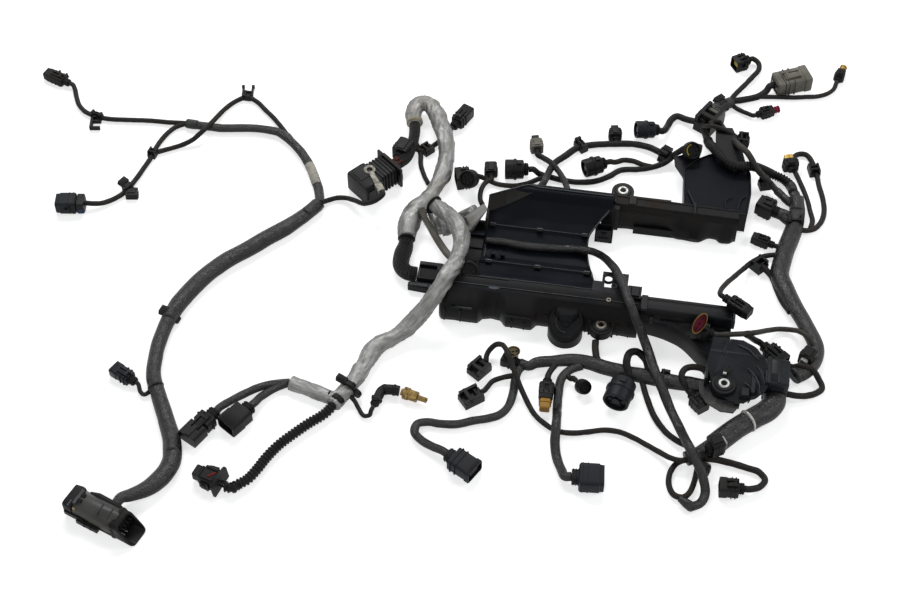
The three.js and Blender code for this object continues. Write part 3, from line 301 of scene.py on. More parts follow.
def controlPoints(name):
    route = routes[name]
    points = [np.array(point, float) for point in route["points"]]
    leadIn = 1.5 * route["radius"]
    if "startYaw" in route:
        points.insert(1, points[0] - leadIn * heading(route["startYaw"]))
    if "endYaw" in route:
        points.insert(len(points) - 1, points[-1] - leadIn * heading(route["endYaw"]))
    return np.array(points)


def centreline(name, step=1.5):
    # centripetal Catmull-Rom curve through the points, sampled at an even spacing
    points = controlPoints(name)
    points = np.vstack([2 * points[0] - points[1], points, 2 * points[-1] - points[-2]])
    a, b, c, d = points[:-3], points[1:-2], points[2:-1], points[3:]
    before = np.sqrt(np.linalg.norm(b - a, axis=1))[:, None]
    across = np.sqrt(np.linalg.norm(c - b, axis=1))[:, None]
    after = np.sqrt(np.linalg.norm(d - c, axis=1))[:, None]
    leave = ((b - a) / before - (c - a) / (before + across) + (c - b) / across) * across
    arrive = ((c - b) / across - (d - b) / (across + after) + (d - c) / after) * across
    t = np.linspace(0, 1, 24, endpoint=False)[None, :, None]
    b, c, leave, arrive = b[:, None], c[:, None], leave[:, None], arrive[:, None]
    curve = (b + leave * t + (3 * (c - b) - 2 * leave - arrive) * t ** 2
             + (2 * (b - c) + leave + arrive) * t ** 3)
    curve = np.vstack([curve.reshape(-1, 3), points[-2]])
    along = distances(curve)
    even = np.linspace(0, along[-1], max(8, int(along[-1] / step)))
    return np.column_stack([np.interp(even, along, curve[:, k]) for k in range(3)]), even


def latticeNoise(u, v, around, seed):
    # smooth value noise on a lattice that wraps in v
    table = np.random.default_rng(seed).random((512, around))
    v = v * around
    i, j = np.floor(u).astype(int), np.floor(v).astype(int)
    f, g = u - i, v - j
    f, g = f * f * (3 - 2 * f), g * g * (3 - 2 * g)
    i, j, i2, j2 = i % 512, j % around, (i + 1) % 512, (j + 1) % around
    low = table[i, j] * (1 - g) + table[i, j2] * g
    high = table[i2, j] * (1 - g) + table[i2, j2] * g
    return low * (1 - f) + high * f


def smoothStep(value, start, end):
    t = np.clip((value - start) / (end - start), 0, 1)
    return t * t * (3 - 2 * t)


def rounded1d(value, knots, heights, reach=2.5):
    # straight-line interpolation averaged over a short reach, so its corners are rounded
    shifts = np.linspace(-reach, reach, 7)
    return np.mean([np.interp(value + shift, knots, heights) for shift in shifts], axis=0)


def gridObject(name, grid, uv, material, closed=True):
    # a two-parameter surface of quads, closed around its second parameter, with fan caps
    rows, columns = grid.shape[:2]
    index = np.arange(rows * columns).reshape(rows, columns)
    following = np.roll(index, -1, axis=1)
    if not closed:
        index, following = index[:, :-1], index[:, 1:]
    quads = np.stack([index[:-1], index[1:], following[1:], following[:-1]], axis=-1).reshape(-1, 4)
    faces = quads.tolist()
    if closed:
        faces += [list(range(columns)), list(range(rows * columns - 1, rows * columns - columns - 1, -1))]
    mesh = bpy.data.meshes.new(name)
    mesh.from_pydata((grid.reshape(-1, 3) * mm).tolist(), [], faces)
    layer = mesh.uv_layers.new(name="along")
    loops = np.empty(len(mesh.loops), np.int32)
    mesh.loops.foreach_get("vertex_index", loops)
    layer.data.foreach_set("uv", uv.reshape(-1, 2)[loops].astype(np.float32).ravel())
    mesh.shade_smooth()
    mesh.materials.append(material)
    return place(bpy.data.objects.new(name, mesh))


def place(piece):
    bpy.context.collection.objects.link(piece)
    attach(piece, "root")
    return piece


def tube(name, path, along, radius, material, sides=16, relief=None, flatten=0.0):
    # circle of the given radius carried along the path; relief adds to the radius at (distance, turn)
    tangent = np.gradient(path, axis=0)
    tangent /= np.linalg.norm(tangent, axis=1)[:, None]
    side = np.cross(tangent, [0, 0, 1.0])
    side /= np.linalg.norm(side, axis=1)[:, None]
    up = np.cross(side, tangent)
    turn = np.linspace(0, 1, sides, endpoint=False)
    distance, turns = np.meshgrid(along, turn, indexing="ij")
    reach = np.broadcast_to(np.asarray(radius, float).reshape(-1, 1), distance.shape).copy()
    if relief is not None:
        reach = reach + relief(distance, turns)
    angle = 2 * np.pi * turns
    across = (1 + flatten) * np.cos(angle) * reach
    high = (1 - flatten) * np.sin(angle) * reach
    grid = path[:, None] + across[..., None] * side[:, None] + high[..., None] * up[:, None]
    grid[..., 2] = np.maximum(grid[..., 2], 0.05)
    uv = np.stack([distance * mm * 10, turns], axis=-1)
    return gridObject(name, grid, uv, material)


# Materials
class Graph:
    # the node tree of a look or of the sky, with a short call for each node used below
    def __init__(self, tree):
        self.nodes, self.links = tree.nodes, tree.links

    def join(self, value, socket):
        # a socket takes another node's output, a colour or a number
        if isinstance(value, tuple):
            socket.default_value = (*value, 1)
        elif isinstance(value, (int, float)):
            socket.default_value = value
        else:
            self.links.new(value, socket)

    def node(self, kind, **inputs):
        made = self.nodes.new("ShaderNode" + kind)
        for key, value in inputs.items():
            self.join(value, made.inputs[key])
        return made

    def noise(self, vector, scale, detail=4.0, distortion=0.0):
        return self.node("TexNoise", Scale=scale, Detail=detail, Distortion=distortion,
                         Vector=vector).outputs["Fac"]

    def remap(self, value, low, high, start=0.0, end=1.0):
        ends = {"From Min": low, "From Max": high, "To Min": start, "To Max": end}
        return self.node("MapRange", Value=value, **ends).outputs["Result"]

    def mix(self, factor, first, second):
        made = self.nodes.new("ShaderNodeMix")
        made.data_type = "RGBA"
        for key, value in (("Factor", factor), ("A", first), ("B", second)):
            self.join(value, made.inputs[key])
        return made.outputs["Result"]

    def math(self, kind, first, second=0.0):
        made = self.nodes.new("ShaderNodeMath")
        made.operation = kind
        for value, socket in zip((first, second), made.inputs):
            self.join(value, socket)
        return made.outputs[0]

    def bump(self, height, strength, distance, normal=None):
        made = self.node("Bump", Strength=strength, Distance=distance, Height=height)
        if normal is not None:
            self.join(normal, made.inputs["Normal"])
        return made.outputs["Normal"]

    def split(self, vector):
        # the x and y of a vector
        return self.node("SeparateXYZ", Vector=vector).outputs[:2]


def shader(name, metallic=0.0, roughness=0.5, specular=0.22):
    material = bpy.data.materials.new(name)
    material.use_nodes = True
    graph = Graph(material.node_tree)
    body = graph.nodes["Principled BSDF"]
    body.inputs["Metallic"].default_value = metallic
    body.inputs["Roughness"].default_value = roughness
    body.inputs["Specular IOR Level"].default_value = specular
    return material, graph, body


def plastic(name, dark, light, roughness=0.45, dust=0.35, dustColour=(0.05, 0.041, 0.032), dustScale=22,
            specular=0.13, rounding=0.0, pattern=None):
    # moulded or taped black plastic: slow colour change, settled dust, fine grain and a wrap pattern
    material, graph, body = shader(name, specular=specular)
    spot = graph.node("TexCoord")
    local = spot.outputs["Object"]
    slow = graph.noise(local, 35, 5)
    colour = graph.mix(graph.remap(slow, 0.35, 0.65), dark, light)
    film = graph.noise(local, dustScale, 8, 0.6)
    speck = graph.noise(local, dustScale * 14, 4)
    dusty = graph.math("MULTIPLY", graph.remap(film, 0.5, 0.72),
                       graph.remap(speck, 0.35, 0.6, 0.3, 1.0))
    dusty = graph.math("MULTIPLY", dusty, dust)
    colour = graph.mix(dusty, colour, dustColour)
    graph.join(colour, body.inputs["Base Color"])
    rough = graph.math("ADD", graph.remap(slow, 0.3, 0.7, roughness - 0.08, roughness + 0.1),
                       graph.math("MULTIPLY", dusty, 0.5))
    graph.join(rough, body.inputs["Roughness"])
    normal = None
    if rounding:
        edge = graph.node("Bevel", Radius=rounding * mm)
        edge.samples = 4
        normal = edge.outputs["Normal"]
    grain, grainDepth = 900, 0.25
    normal = graph.bump(graph.noise(local, grain, 3), grainDepth, 0.0004, normal)
    if pattern:
        normal = pattern(graph, spot.outputs["UV"], normal)
    graph.join(normal, body.inputs["Normal"])
    return material


def tapeWraps(pitch, depth):
    # helical overlap steps of a wound tape, from the distance along and the turn around the cord
    def pattern(graph, uv, normal):
        along, around = graph.split(uv)
        turns = graph.math("MULTIPLY", along, 100 / pitch)
        wobble = graph.math("MULTIPLY", graph.noise(uv, 3, 2), 0.6)
        phase = graph.math("ADD", graph.math("ADD", turns, around), wobble)
        saw = graph.math("FRACT", phase)
        creases = graph.noise(uv, 14, 6, 1.5)
        height = graph.math("ADD", saw, graph.math("MULTIPLY", creases, 0.8))
        return graph.bump(height, 0.8, depth, normal)
    return pattern


def weave(count, pitch):
    # crossing helical strands of a braided sleeve
    def pattern(graph, uv, normal):
        along, around = graph.split(uv)
        forth = graph.math("MULTIPLY", along, 100 / pitch)
        strands = graph.math("MULTIPLY", around, count)
        plus = graph.math("MULTIPLY", graph.math("ADD", forth, strands), math.pi)
        minus = graph.math("MULTIPLY", graph.math("SUBTRACT", forth, strands), math.pi)
        height = graph.math("MULTIPLY", graph.math("SINE", plus),
                            graph.math("SINE", minus))
        return graph.bump(height, 1.0, 0.0012, normal)
    return pattern


def foil(name):
    # aluminium foil sleeve: dull grey, finely creased along its length, stained brown and black, with light and
    # dark lengthwise streaks painted in as reflections and crease shade
    material, graph, body = shader(name, metallic=0.6, roughness=0.5)
    spot = graph.node("TexCoord")
    local = spot.outputs["Object"]
    stretched = graph.node("Mapping", Vector=spot.outputs["UV"])
    stretched.inputs["Scale"].default_value = (6, 16, 1)
    lengthwise = stretched.outputs["Vector"]
    # light and dark grey bands along the length: painted reflections of the creased foil
    slow = graph.noise(lengthwise, 1.0, 6, 0.6)
    colour = graph.mix(graph.remap(slow, 0.3, 0.7), (0.17, 0.17, 0.167), (0.33, 0.33, 0.32))
    stain = graph.noise(local, 42, 8, 1.2)
    # dark lengthwise streaks: painted shade in the creases
    creaseShade = graph.noise(lengthwise, 2.2, 6, 1.0)
    colour = graph.mix(graph.remap(creaseShade, 0.61, 0.76, 0, 0.55), colour, (0.07, 0.066, 0.058))
    colour = graph.mix(graph.remap(stain, 0.62, 0.74, 0, 0.7), colour, (0.085, 0.075, 0.06))
    brown = graph.noise(local, 17, 5, 0.8)
    colour = graph.mix(graph.remap(brown, 0.58, 0.72, 0, 0.45), colour, (0.17, 0.13, 0.085))
    graph.join(colour, body.inputs["Base Color"])
    graph.join(graph.remap(stain, 0.4, 0.7, 0.42, 0.58), body.inputs["Roughness"])
    creases = graph.noise(lengthwise, 1.4, 7, 1.6)
    ridge = graph.math("ABSOLUTE", graph.math("SUBTRACT", creases, 0.5))
    normal = graph.bump(ridge, 0.5, 0.0016)
    fine = graph.noise(local, 220, 3, 0.3)
    graph.join(graph.bump(fine, 0.12, 0.0003, normal), body.inputs["Normal"])
    return material


def metal(name, dark, light, roughness, stained=0.5):
    stain = (0.08, 0.07, 0.05)
    material, graph, body = shader(name, metallic=1.0, roughness=roughness)
    spot = graph.node("TexCoord")
    local = spot.outputs["Object"]
    slow = graph.noise(local, 220, 5)
    colour = graph.mix(graph.remap(slow, 0.35, 0.65), dark, light)
    patch = graph.noise(local, 120, 6, 0.8)
    colour = graph.mix(graph.remap(patch, 0.55, 0.7, 0, stained), colour, stain)
    graph.join(colour, body.inputs["Base Color"])
    graph.join(graph.remap(patch, 0.4, 0.7, roughness, roughness + 0.3), body.inputs["Roughness"])
    graph.join(graph.bump(slow, 0.3, 0.0003), body.inputs["Normal"])
    return material


black = (0.0052, 0.0053, 0.0058)
softBlack = (0.0115, 0.0115, 0.012)
looks = {
    "trunk": plastic("trunk_tape", black, (0.015, 0.015, 0.016), 0.33, 0.2, specular=0.30,
                     pattern=tapeWraps(16, 0.0018)),
    "lead": plastic("lead_sheath", (0.012, 0.011, 0.011), (0.030, 0.027, 0.024), 0.5, 0.5,
                    pattern=tapeWraps(9, 0.0005)),
    "cable": plastic("cable_tape", black, (0.017, 0.0165, 0.016), 0.42, 0.3, pattern=tapeWraps(12, 0.0007)),
    "grey": plastic("grey_sheath", (0.030, 0.029, 0.027), (0.075, 0.070, 0.062), 0.5, 0.5,
                    pattern=tapeWraps(9, 0.0004)),
    "conduit": plastic("conduit_rubber", black, (0.017, 0.017, 0.017), 0.4, 0.25),
    "hose": plastic("ribbed_hose", (0.15, 0.14, 0.12), (0.32, 0.30, 0.26), 0.5, 0.7,
                    (0.16, 0.12, 0.08)),
    "braid": plastic("braided_sleeve", black, (0.035, 0.034, 0.033), 0.42, 0.25, pattern=weave(26.0, 3.2)),
    "foil": foil("foil_sleeve"),
    "plug": plastic("plug_plastic", black, softBlack, 0.42, 0.3, rounding=0.25),
    "slate": plastic("slate_plastic", (0.008, 0.009, 0.012), (0.015, 0.017, 0.022), 0.42, 0.25, rounding=0.25),
    "socket": plastic("socket_dark", (0.003, 0.003, 0.0035), (0.007, 0.007, 0.008), 0.55, 0.1),
    "housing": plastic("housing_plastic", (0.0055, 0.006, 0.0075), (0.012, 0.013, 0.016), 0.36, 0.25,
                       (0.035, 0.03, 0.024), 14, specular=0.12, rounding=0.7),
    "basin": plastic("basin_plastic", (0.0045, 0.0055, 0.0085), (0.0075, 0.009, 0.013), 0.48, 0.12,
                     (0.02, 0.018, 0.016), 9, specular=0.07, rounding=0.6),
    "dustyDuct": plastic("duct_plastic", (0.0055, 0.006, 0.007), (0.012, 0.012, 0.013), 0.4, 0.8,
                         (0.034, 0.025, 0.017), 11, specular=0.10, rounding=0.8),
    "dusty": plastic("dusty_plastic", (0.016, 0.0155, 0.015), (0.030, 0.028, 0.026), 0.5, 0.7,
                     (0.05, 0.042, 0.034), 20, specular=0.12, rounding=0.6),
    # light bluish grey, used only for a patch on the front duct's top: a painted highlight
    "scuff": plastic("bluish_highlight_plastic", (0.04, 0.05, 0.06), (0.11, 0.13, 0.15), 0.5, 0.2, specular=0.12),
    "tarnished": metal("tarnished_steel", (0.13, 0.12, 0.10), (0.24, 0.22, 0.19), 0.45, stained=0.7),
    "bracket": plastic("bracket_plastic", (0.009, 0.010, 0.0125), (0.020, 0.022, 0.026), 0.34, 0.35,
                       (0.045, 0.042, 0.038), 20, rounding=0.8),
    "speckled": plastic("speckled_plastic", (0.045, 0.045, 0.045), (0.09, 0.09, 0.086), 0.45, 0.9,
                        (0.17, 0.165, 0.155), 160),
    "cover": plastic("cover_plastic", (0.030, 0.031, 0.029), (0.07, 0.07, 0.066), 0.32, 0.8, (0.13, 0.11, 0.08), 30,
                     specular=0.22, rounding=0.4),
    "label": plastic("paper_band", (0.30, 0.28, 0.23), (0.48, 0.46, 0.40), 0.6, 0.6, (0.12, 0.10, 0.08), 160),
    "beige": plastic("beige_tape", (0.28, 0.24, 0.17), (0.46, 0.41, 0.31), 0.6, 0.8, (0.14, 0.10, 0.06), 120),
    "redWire": plastic("red_wire", (0.07, 0.012, 0.008), (0.13, 0.025, 0.016), 0.45, 0.5),
    # lighter grey for thin beads, strips and arcs: painted highlight lines along ridges, rims and edges
    "edge": plastic("painted_highlight_edge", (0.022, 0.024, 0.028), (0.06, 0.063, 0.068), 0.28, 0.2, (0.07, 0.065, 0.055), 40,
                    specular=0.22),
    "steel": metal("worn_steel", (0.26, 0.26, 0.25), (0.46, 0.46, 0.44), 0.4),
    "nickel": metal("dull_nickel", (0.13, 0.125, 0.11), (0.28, 0.265, 0.235), 0.6, stained=0.7),
    "amberRing": plastic("amber_ring", (0.22, 0.11, 0.02), (0.34, 0.19, 0.04), 0.4, 0.5),
    "brass": metal("worn_brass", (0.09, 0.06, 0.025), (0.27, 0.185, 0.07), 0.4),
    "gold": metal("gold_brass", (0.20, 0.13, 0.035), (0.48, 0.33, 0.10), 0.36),
    "amber": plastic("orange_plastic", (0.36, 0.19, 0.03), (0.55, 0.31, 0.06), 0.4, 0.4),
    "red": plastic("red_plastic", (0.22, 0.008, 0.008), (0.34, 0.016, 0.014), 0.4, 0.2),
    "crimson": plastic("crimson_plastic", (0.13, 0.006, 0.022), (0.21, 0.012, 0.036), 0.4, 0.3),
    "tan": plastic("tan_plastic", (0.36, 0.27, 0.13), (0.56, 0.44, 0.24), 0.5, 0.4),
    "olive": plastic("olive_plastic", (0.12, 0.115, 0.095), (0.24, 0.23, 0.195), 0.45, 0.6, (0.07, 0.06, 0.045)),
    "yellow": plastic("yellow_plastic", (0.42, 0.33, 0.03), (0.6, 0.48, 0.06), 0.4, 0.3),
    "white": plastic("white_plastic", (0.38, 0.36, 0.31), (0.6, 0.58, 0.52), 0.5, 0.5),
    "blue": plastic("blue_seal", (0.02, 0.05, 0.12), (0.04, 0.09, 0.19), 0.45, 0.2),
}


# Cords: look, relief and flattening of each route
def tapeRelief(radius, seed):
    def relief(distance, turns):
        swell = latticeNoise(distance / (7 * radius), turns, 3, seed) - 0.5
        fold = latticeNoise(distance / (1.8 * radius), turns + distance / (30 * radius), 5, seed + 1) - 0.5
        return radius * (0.10 * swell + 0.10 * fold)
    return relief


def foilRelief(radius, seed):
    # lengthwise creases that drift around the sleeve, with a few sharp pinches across it
    def relief(distance, turns):
        drift = turns + 0.10 * np.sin(distance / 23 + seed) + distance / 190
        crease = 1 - np.abs(2 * latticeNoise(distance / 26, drift, 7, seed) - 1)
        narrow = 1 - np.abs(2 * latticeNoise(distance / 13, drift, 13, seed + 1) - 1)
        across = 1 - np.abs(2 * latticeNoise(distance / 5, turns, 3, seed + 2) - 1)
        return radius * (0.17 * crease ** 2 + 0.08 * narrow ** 2 + 0.05 * across ** 3) - 0.06 * radius
    return relief


def ringRelief(pitch, depth):
    def relief(distance, turns):
        wave = np.cos(2 * np.pi * distance / pitch)
        return -depth * (0.5 + 0.5 * np.sign(wave) * np.abs(wave) ** 0.45)
    return relief


cordLooks = {
    "trunk": "trunkLeft trunkUpper bundle bundleTail trunkFront trunkRight trunkTaper trayCable leadWide "
             "leadFrontPlug junction leadSideBox leadTwinSocket leadBoxSocket",
    "cable": "leadDrum rearA rearB rearC rearE leadGrey",
    "foil": "sleeveUpper sleeveLong sleeveShort sleeveBranch sleeveTail sleeveInner",
    "braid": "loomBox braidedHose",
    "conduit": "conduit corrugatedTube",
    "grey": "greyLead crossCord",
    "hose": "ribbedHose",
}
flattening = {"trunk": 0.13, "foil": 0.06, "cable": 0.06}
# how the radius swells along a route: pairs of share of the length and scale
swelling = {
    "sleeveUpper": ((0, 0.8), (0.08, 0.95), (0.6, 0.92), (0.72, 0.78), (0.86, 1.2), (0.96, 1.15), (1, 0.9)),
    "sleeveLong": ((0, 0.75), (0.12, 0.9), (0.3, 0.74), (0.45, 0.8), (0.62, 0.9), (0.74, 0.78), (0.85, 0.86),
                   (1, 0.72)),
    "sleeveShort": ((0, 0.8), (0.6, 0.95), (1, 1.05)),
    "sleeveBranch": ((0, 0.9), (0.5, 1.15), (1, 1.05)),
    "trunkLeft": ((0, 0.9), (0.08, 1.15), (0.25, 1.32), (0.42, 1.2), (0.5, 0.98), (0.7, 1.02), (0.8, 1.2),
                  (0.9, 1.22), (1, 0.6)),
    "trunkRight": ((0, 0.95), (0.2, 1.2), (0.45, 1.25), (0.65, 1.0), (1, 1.1)),
    "trunkFront": ((0, 0.7), (0.3, 1.05), (0.8, 1.15), (1, 1.1)),
    "corrugatedTube": ((0, 1.2), (1, 1.2)),
    "trayCable": ((0, 0.85), (0.4, 1.0), (0.7, 1.1), (1, 0.95)),
    "braidedHose": ((0, 0.85), (0.3, 1.1), (1, 1.0)),
}
ringPitch = {"conduit": 4.0, "corrugatedTube": 3.4, "ribbedHose": 2.6}


def groupOf(groups):
    # the group that each member belongs to
    return {member: group for group, members in groups.items() for member in members.split()}


loomOf, lookOf = groupOf(looms), groupOf(cordLooks)
for number, (name, route) in enumerate(routes.items()):
    look = lookOf.get(name, "lead")
    radius = route["radius"]
    step, sides = max(1.0, min(radius / 3, 2.0)), 20 if radius > 6 else 14
    if look == "foil":
        step, sides, relief = 1.3, 44, foilRelief(radius, number)
    elif name in ringPitch:
        step, relief = 0.5, ringRelief(ringPitch[name], 0.26 * radius)
    else:
        relief = tapeRelief(radius, number)
    path, along = centreline(name, step)
    if name in swelling:
        radius = np.minimum(radius * rounded1d(along / along[-1], *zip(*swelling[name]), reach=0.03),
                            1.09 * radius + 0.8)
    piece = tube("cord_" + name, path, along, radius, looks[look], sides, relief,
                 flattening.get(look, 0.0))
    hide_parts(loomOf[name])


# Plugs, built in local millimetres: x away from the lead, z up from the underside
class Builder:
    def __init__(self):
        self.vertices, self.faces, self.looks, self.count = [], [], [], 0

    def add(self, points, faces, look):
        self.vertices.append(np.asarray(points, float))
        self.faces += [[corner + self.count for corner in face] for face in faces]
        self.looks += [look] * len(faces)
        self.count += len(points)

    def loft(self, rings, look, capStart=True, capEnd=True):
        # rings: equal-length loops of points, joined in order
        rings = np.asarray(rings, float)
        rows, columns = rings.shape[:2]
        index = np.arange(rows * columns).reshape(rows, columns)
        following = np.roll(index, -1, axis=1)
        faces = np.stack([index[:-1], following[:-1], following[1:], index[1:]], axis=-1).reshape(-1, 4).tolist()
        if capStart:
            faces.append(index[0, ::-1].tolist())
        if capEnd:
            faces.append(index[-1].tolist())
        self.add(rings.reshape(-1, 3), faces, look)

    def block(self, x0, x1, y0, y1, z0, z1, look, lean=0.0):
        # box whose far end is narrowed by lean on every side
        ring = np.array([[y0, z0], [y1, z0], [y1, z1], [y0, z1]])
        far = np.array([[y0 + lean, z0 + lean], [y1 - lean, z0 + lean], [y1 - lean, z1 - lean],
                        [y0 + lean, z1 - lean]])
        self.loft([[(x0, *p) for p in ring], [(x1, *p) for p in far]], look)

    def blocks(self, look, *sizes):
        for size in sizes:
            self.block(*size, look)

    def prism(self, profile, y0, y1, look):
        # outline in x and z carried from y0 to y1
        self.loft([[(x, y0, z) for x, z in profile], [(x, y1, z) for x, z in profile]][::-1], look)

    def rounded(self, stations, look, corner=0.22):
        # superellipse sections along x; station = x, width, height, centre height
        angle = circle(24) + np.pi / 24
        rings = []
        for x, width, height, centre in stations:
            c, s = np.cos(angle), np.sin(angle)
            y = width / 2 * np.sign(c) * np.abs(c) ** corner
            z = height / 2 * np.sign(s) * np.abs(s) ** corner + centre
            rings.append(np.column_stack([np.full(24, x), y, z]))
        self.loft(rings, look)

    def band(self, x0, x1, width, height, centre, look, corner=0.22):
        # the same rounded section from x0 to x1
        self.rounded([(x0, width, height, centre), (x1, width, height, centre)], look, corner)

    def slab(self, outline, z0, z1, look):
        # outline in x and y carried from z0 to z1
        self.loft([[(x, y, z) for x, y in outline] for z in (z0, z1)], look)

    def shell(self, x0, x1, width, height, centre, depth, thick, look):
        # tube with an open far end: outside, lip, then the inside wall back to the floor of the mouth
        self.rounded([(x0, width, height, centre), (x1 - 0.6, width, height, centre),
                      (x1, width - 0.8, height - 0.8, centre),
                      (x1, width - 2 * thick, height - 2 * thick, centre)], look)
        self.faces.pop()
        self.looks.pop()
        self.band(x1, x1 - depth, width - 2 * thick, height - 2 * thick, centre, "socket")
        self.faces.pop(-2)
        self.looks.pop()

    def round(self, stations, look, y=0.0, z=0.0, sides=28):
        # circles along x; station = x, radius
        angle = circle(sides)
        self.loft([np.column_stack([np.full(sides, x), y + r * np.cos(angle), z + r * np.sin(angle)])
                   for x, r in stations], look)

    def housed(self, name, node, bevel=0.0, slot="housing"):
        # a piece that is already in the part's own millimetres
        self.finish(name, node, (0, 0), 0, 0, slot, bevel)

    def finish(self, name, node, origin, yaw, bottom, slot="plug", bevel=0.35, pitch=0.0):
        points = np.vstack(self.vertices)
        if pitch:
            c, s = math.cos(math.radians(pitch)), math.sin(math.radians(pitch))
            points = points @ np.array([[c, 0, s], [0, 1, 0], [-s, 0, c]])
        c, s = math.cos(math.radians(yaw)), math.sin(math.radians(yaw))
        points = points @ np.array([[c, s, 0], [-s, c, 0], [0, 0, 1]])
        points = points + [origin[0], origin[1], bottom]
        mesh = bpy.data.meshes.new(name)
        mesh.from_pydata((points * mm).tolist(), [], self.faces)
        names = sorted(set(self.looks))
        for look in names:
            mesh.materials.append(looks[look])
        mesh.polygons.foreach_set("material_index", [names.index(look) for look in self.looks])
        mesh.update()
        mesh.shade_smooth()
        mesh.set_sharp_from_angle(angle=math.radians(34))
        piece = place(bpy.data.objects.new(name, mesh))
        if bevel:
            modifier = piece.modifiers.new("rounding", "BEVEL")
            modifier.width = bevel * mm
            modifier.segments = 2
            modifier.limit_method = "ANGLE"
            modifier.angle_limit = math.radians(40)
            modifier.harden_normals = True
        record(piece, name, node)


pieces = {}


def record(piece, name, node):
    # takes the place of a node of the model
    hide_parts(node)
    pieces[name] = piece


def seatOf(lead, atStart=False):
    # point and yaw where a plug stands on the end of its lead
    points = controlPoints(lead)
    if atStart:
        points = points[::-1]
    step = points[-1] - points[-2]
    yaw = math.degrees(math.atan2(step[1], step[0]))
    return points[-1] + 0.3 * heading(yaw), yaw


def boot(builder, length, width, height, centre, look="socket"):
    # rubber seal behind a plug, with three raised rings
    stations = [(0, width * 0.9, height * 0.9, centre)]
    for ring in np.linspace(0.12, 0.75, 3):
        x = ring * length
        stations += [(x, width * 0.9, height * 0.9, centre), (x + 0.6, width, height, centre),
                     (x + length * 0.13, width, height, centre),
                     (x + length * 0.16, width * 0.9, height * 0.9, centre)]
    stations.append((length, width * 0.9, height * 0.9, centre))
    builder.rounded(stations, look, corner=0.6)


def latch(builder, x0, x1, width, top, look):
    # two rails with a bridge and a sprung lever between them
    builder.blocks(look, (x0, x1, -width / 2, -width / 2 + 1.2, top - 0.4, top + 2.2),
                   (x0, x1, width / 2 - 1.2, width / 2, top - 0.4, top + 2.2),
                   (x0 + 0.15 * (x1 - x0), x0 + 0.34 * (x1 - x0), -width / 2, width / 2, top + 1.2, top + 2.5))
    builder.prism([(x0 + 1, top - 0.2), (x1 - 2, top - 0.2), (x1 - 2, top + 0.5), (x0 + 1, top + 1.8)],
                  -width / 2 + 2, width / 2 - 2, look)


def blockPlug(name, lead, length, width, height, look="plug", atStart=False, bottom=0.0, collar=False, tip=0,
              tipLook="amber", mouth=0.0, insert="socket", ribs=2, wing=0.0, bootLook="socket", waist=False,
              slot="plug", smooth=False):
    builder = Builder()
    end = length - tip
    middle = height / 2
    front = 0.22 * end
    boot(builder, front + 1, width * 0.66, height * 0.68, middle, bootLook)
    if waist:
        builder.band(front, front + 0.28 * end, width * 0.9, height, middle, look)
        builder.band(front + 0.26 * end, front + 0.36 * end, width * 0.6, height * 0.7, middle, "socket")
        builder.band(front + 0.34 * end, end, width, height, middle, look)
        builder.block(front + 0.42 * end, end - 1, -0.12 * width, 0.12 * width, height - 0.3, height + 0.9, look)
    elif mouth:
        builder.band(front, end - mouth, width * 0.94, height * 0.94, middle, look)
        builder.shell(end - mouth - 1, end, width, height, middle, mouth - 1, 1.5, look)
        builder.band(end - mouth, end - mouth * 0.35, width * 0.5, height * 0.4, middle, insert)
    else:
        builder.rounded([(front, width * 0.86, height * 0.86, middle), (front + 1.5, width, height, middle),
                         (end - 5, width, height, middle), (end - 4.5, width * 0.93, height * 0.93, middle),
                         (end, width * 0.9, height * 0.9, middle)], look)
        builder.shell(end - 4, end + 0.01, width * 0.86, height * 0.84, middle, 3, 1.2, look)
    for rib in range(ribs):
        x = front + (0.1 + 0.16 * rib) * end
        builder.band(x, x + 1.1, width + 1, height + 0.6, middle, look)
    if collar:
        builder.band(0.44 * end, 0.44 * end + 1.8, width + 4.6, height * 0.7, middle, look)
        for side in (-1, 1):
            y = side * (width / 2 + 1.2)
            builder.block(0.44 * end + 1.5, 0.56 * end + 3, min(y, y + side), max(y, y + side), middle - 2,
                          middle + 2, look)
    if wing:
        builder.blocks(look, (0.3 * end, 0.75 * end, -width / 2 - wing, -width / 2 + 1, 1.0, 2.6),
                       (0.34 * end, 0.4 * end, -width / 2 - wing, -width / 2 + 1, 2.4, 6.4),
                       (0.64 * end, 0.7 * end, -width / 2 - wing, -width / 2 + 1, 2.4, 6.4))
    if not smooth:
        latch(builder, front + 1, 0.72 * end, 0.42 * width, height - 0.3, look)
    if tip and tipLook != "amber":
        t = 0.3 * width
        builder.round([(end - 2, 1.3 * t), (end + 1, 1.3 * t), (end + 1, t), (end + 0.35 * tip, t),
                       (end + 0.35 * tip, 1.2 * t), (end + 0.55 * tip, 1.2 * t), (end + 0.55 * tip, t),
                       (end + 0.8 * tip, t), (end + 0.8 * tip, 1.25 * t), (length, 1.25 * t), (length, 0.6 * t),
                       (length - 2, 0.5 * t)], tipLook, z=middle)
    elif tip:
        builder.rounded([(end - 1, width * 0.7, height * 0.7, middle),
                         (length - 1, width * 0.7, height * 0.7, middle),
                         (length, width * 0.6, height * 0.6, middle)], tipLook)
        builder.band(end + 0.3 * tip, end + 0.3 * tip + 1.2, width * 0.84, height * 0.84, middle, tipLook)
    builder.finish(name, name, *seatOf(lead, atStart), bottom, slot)


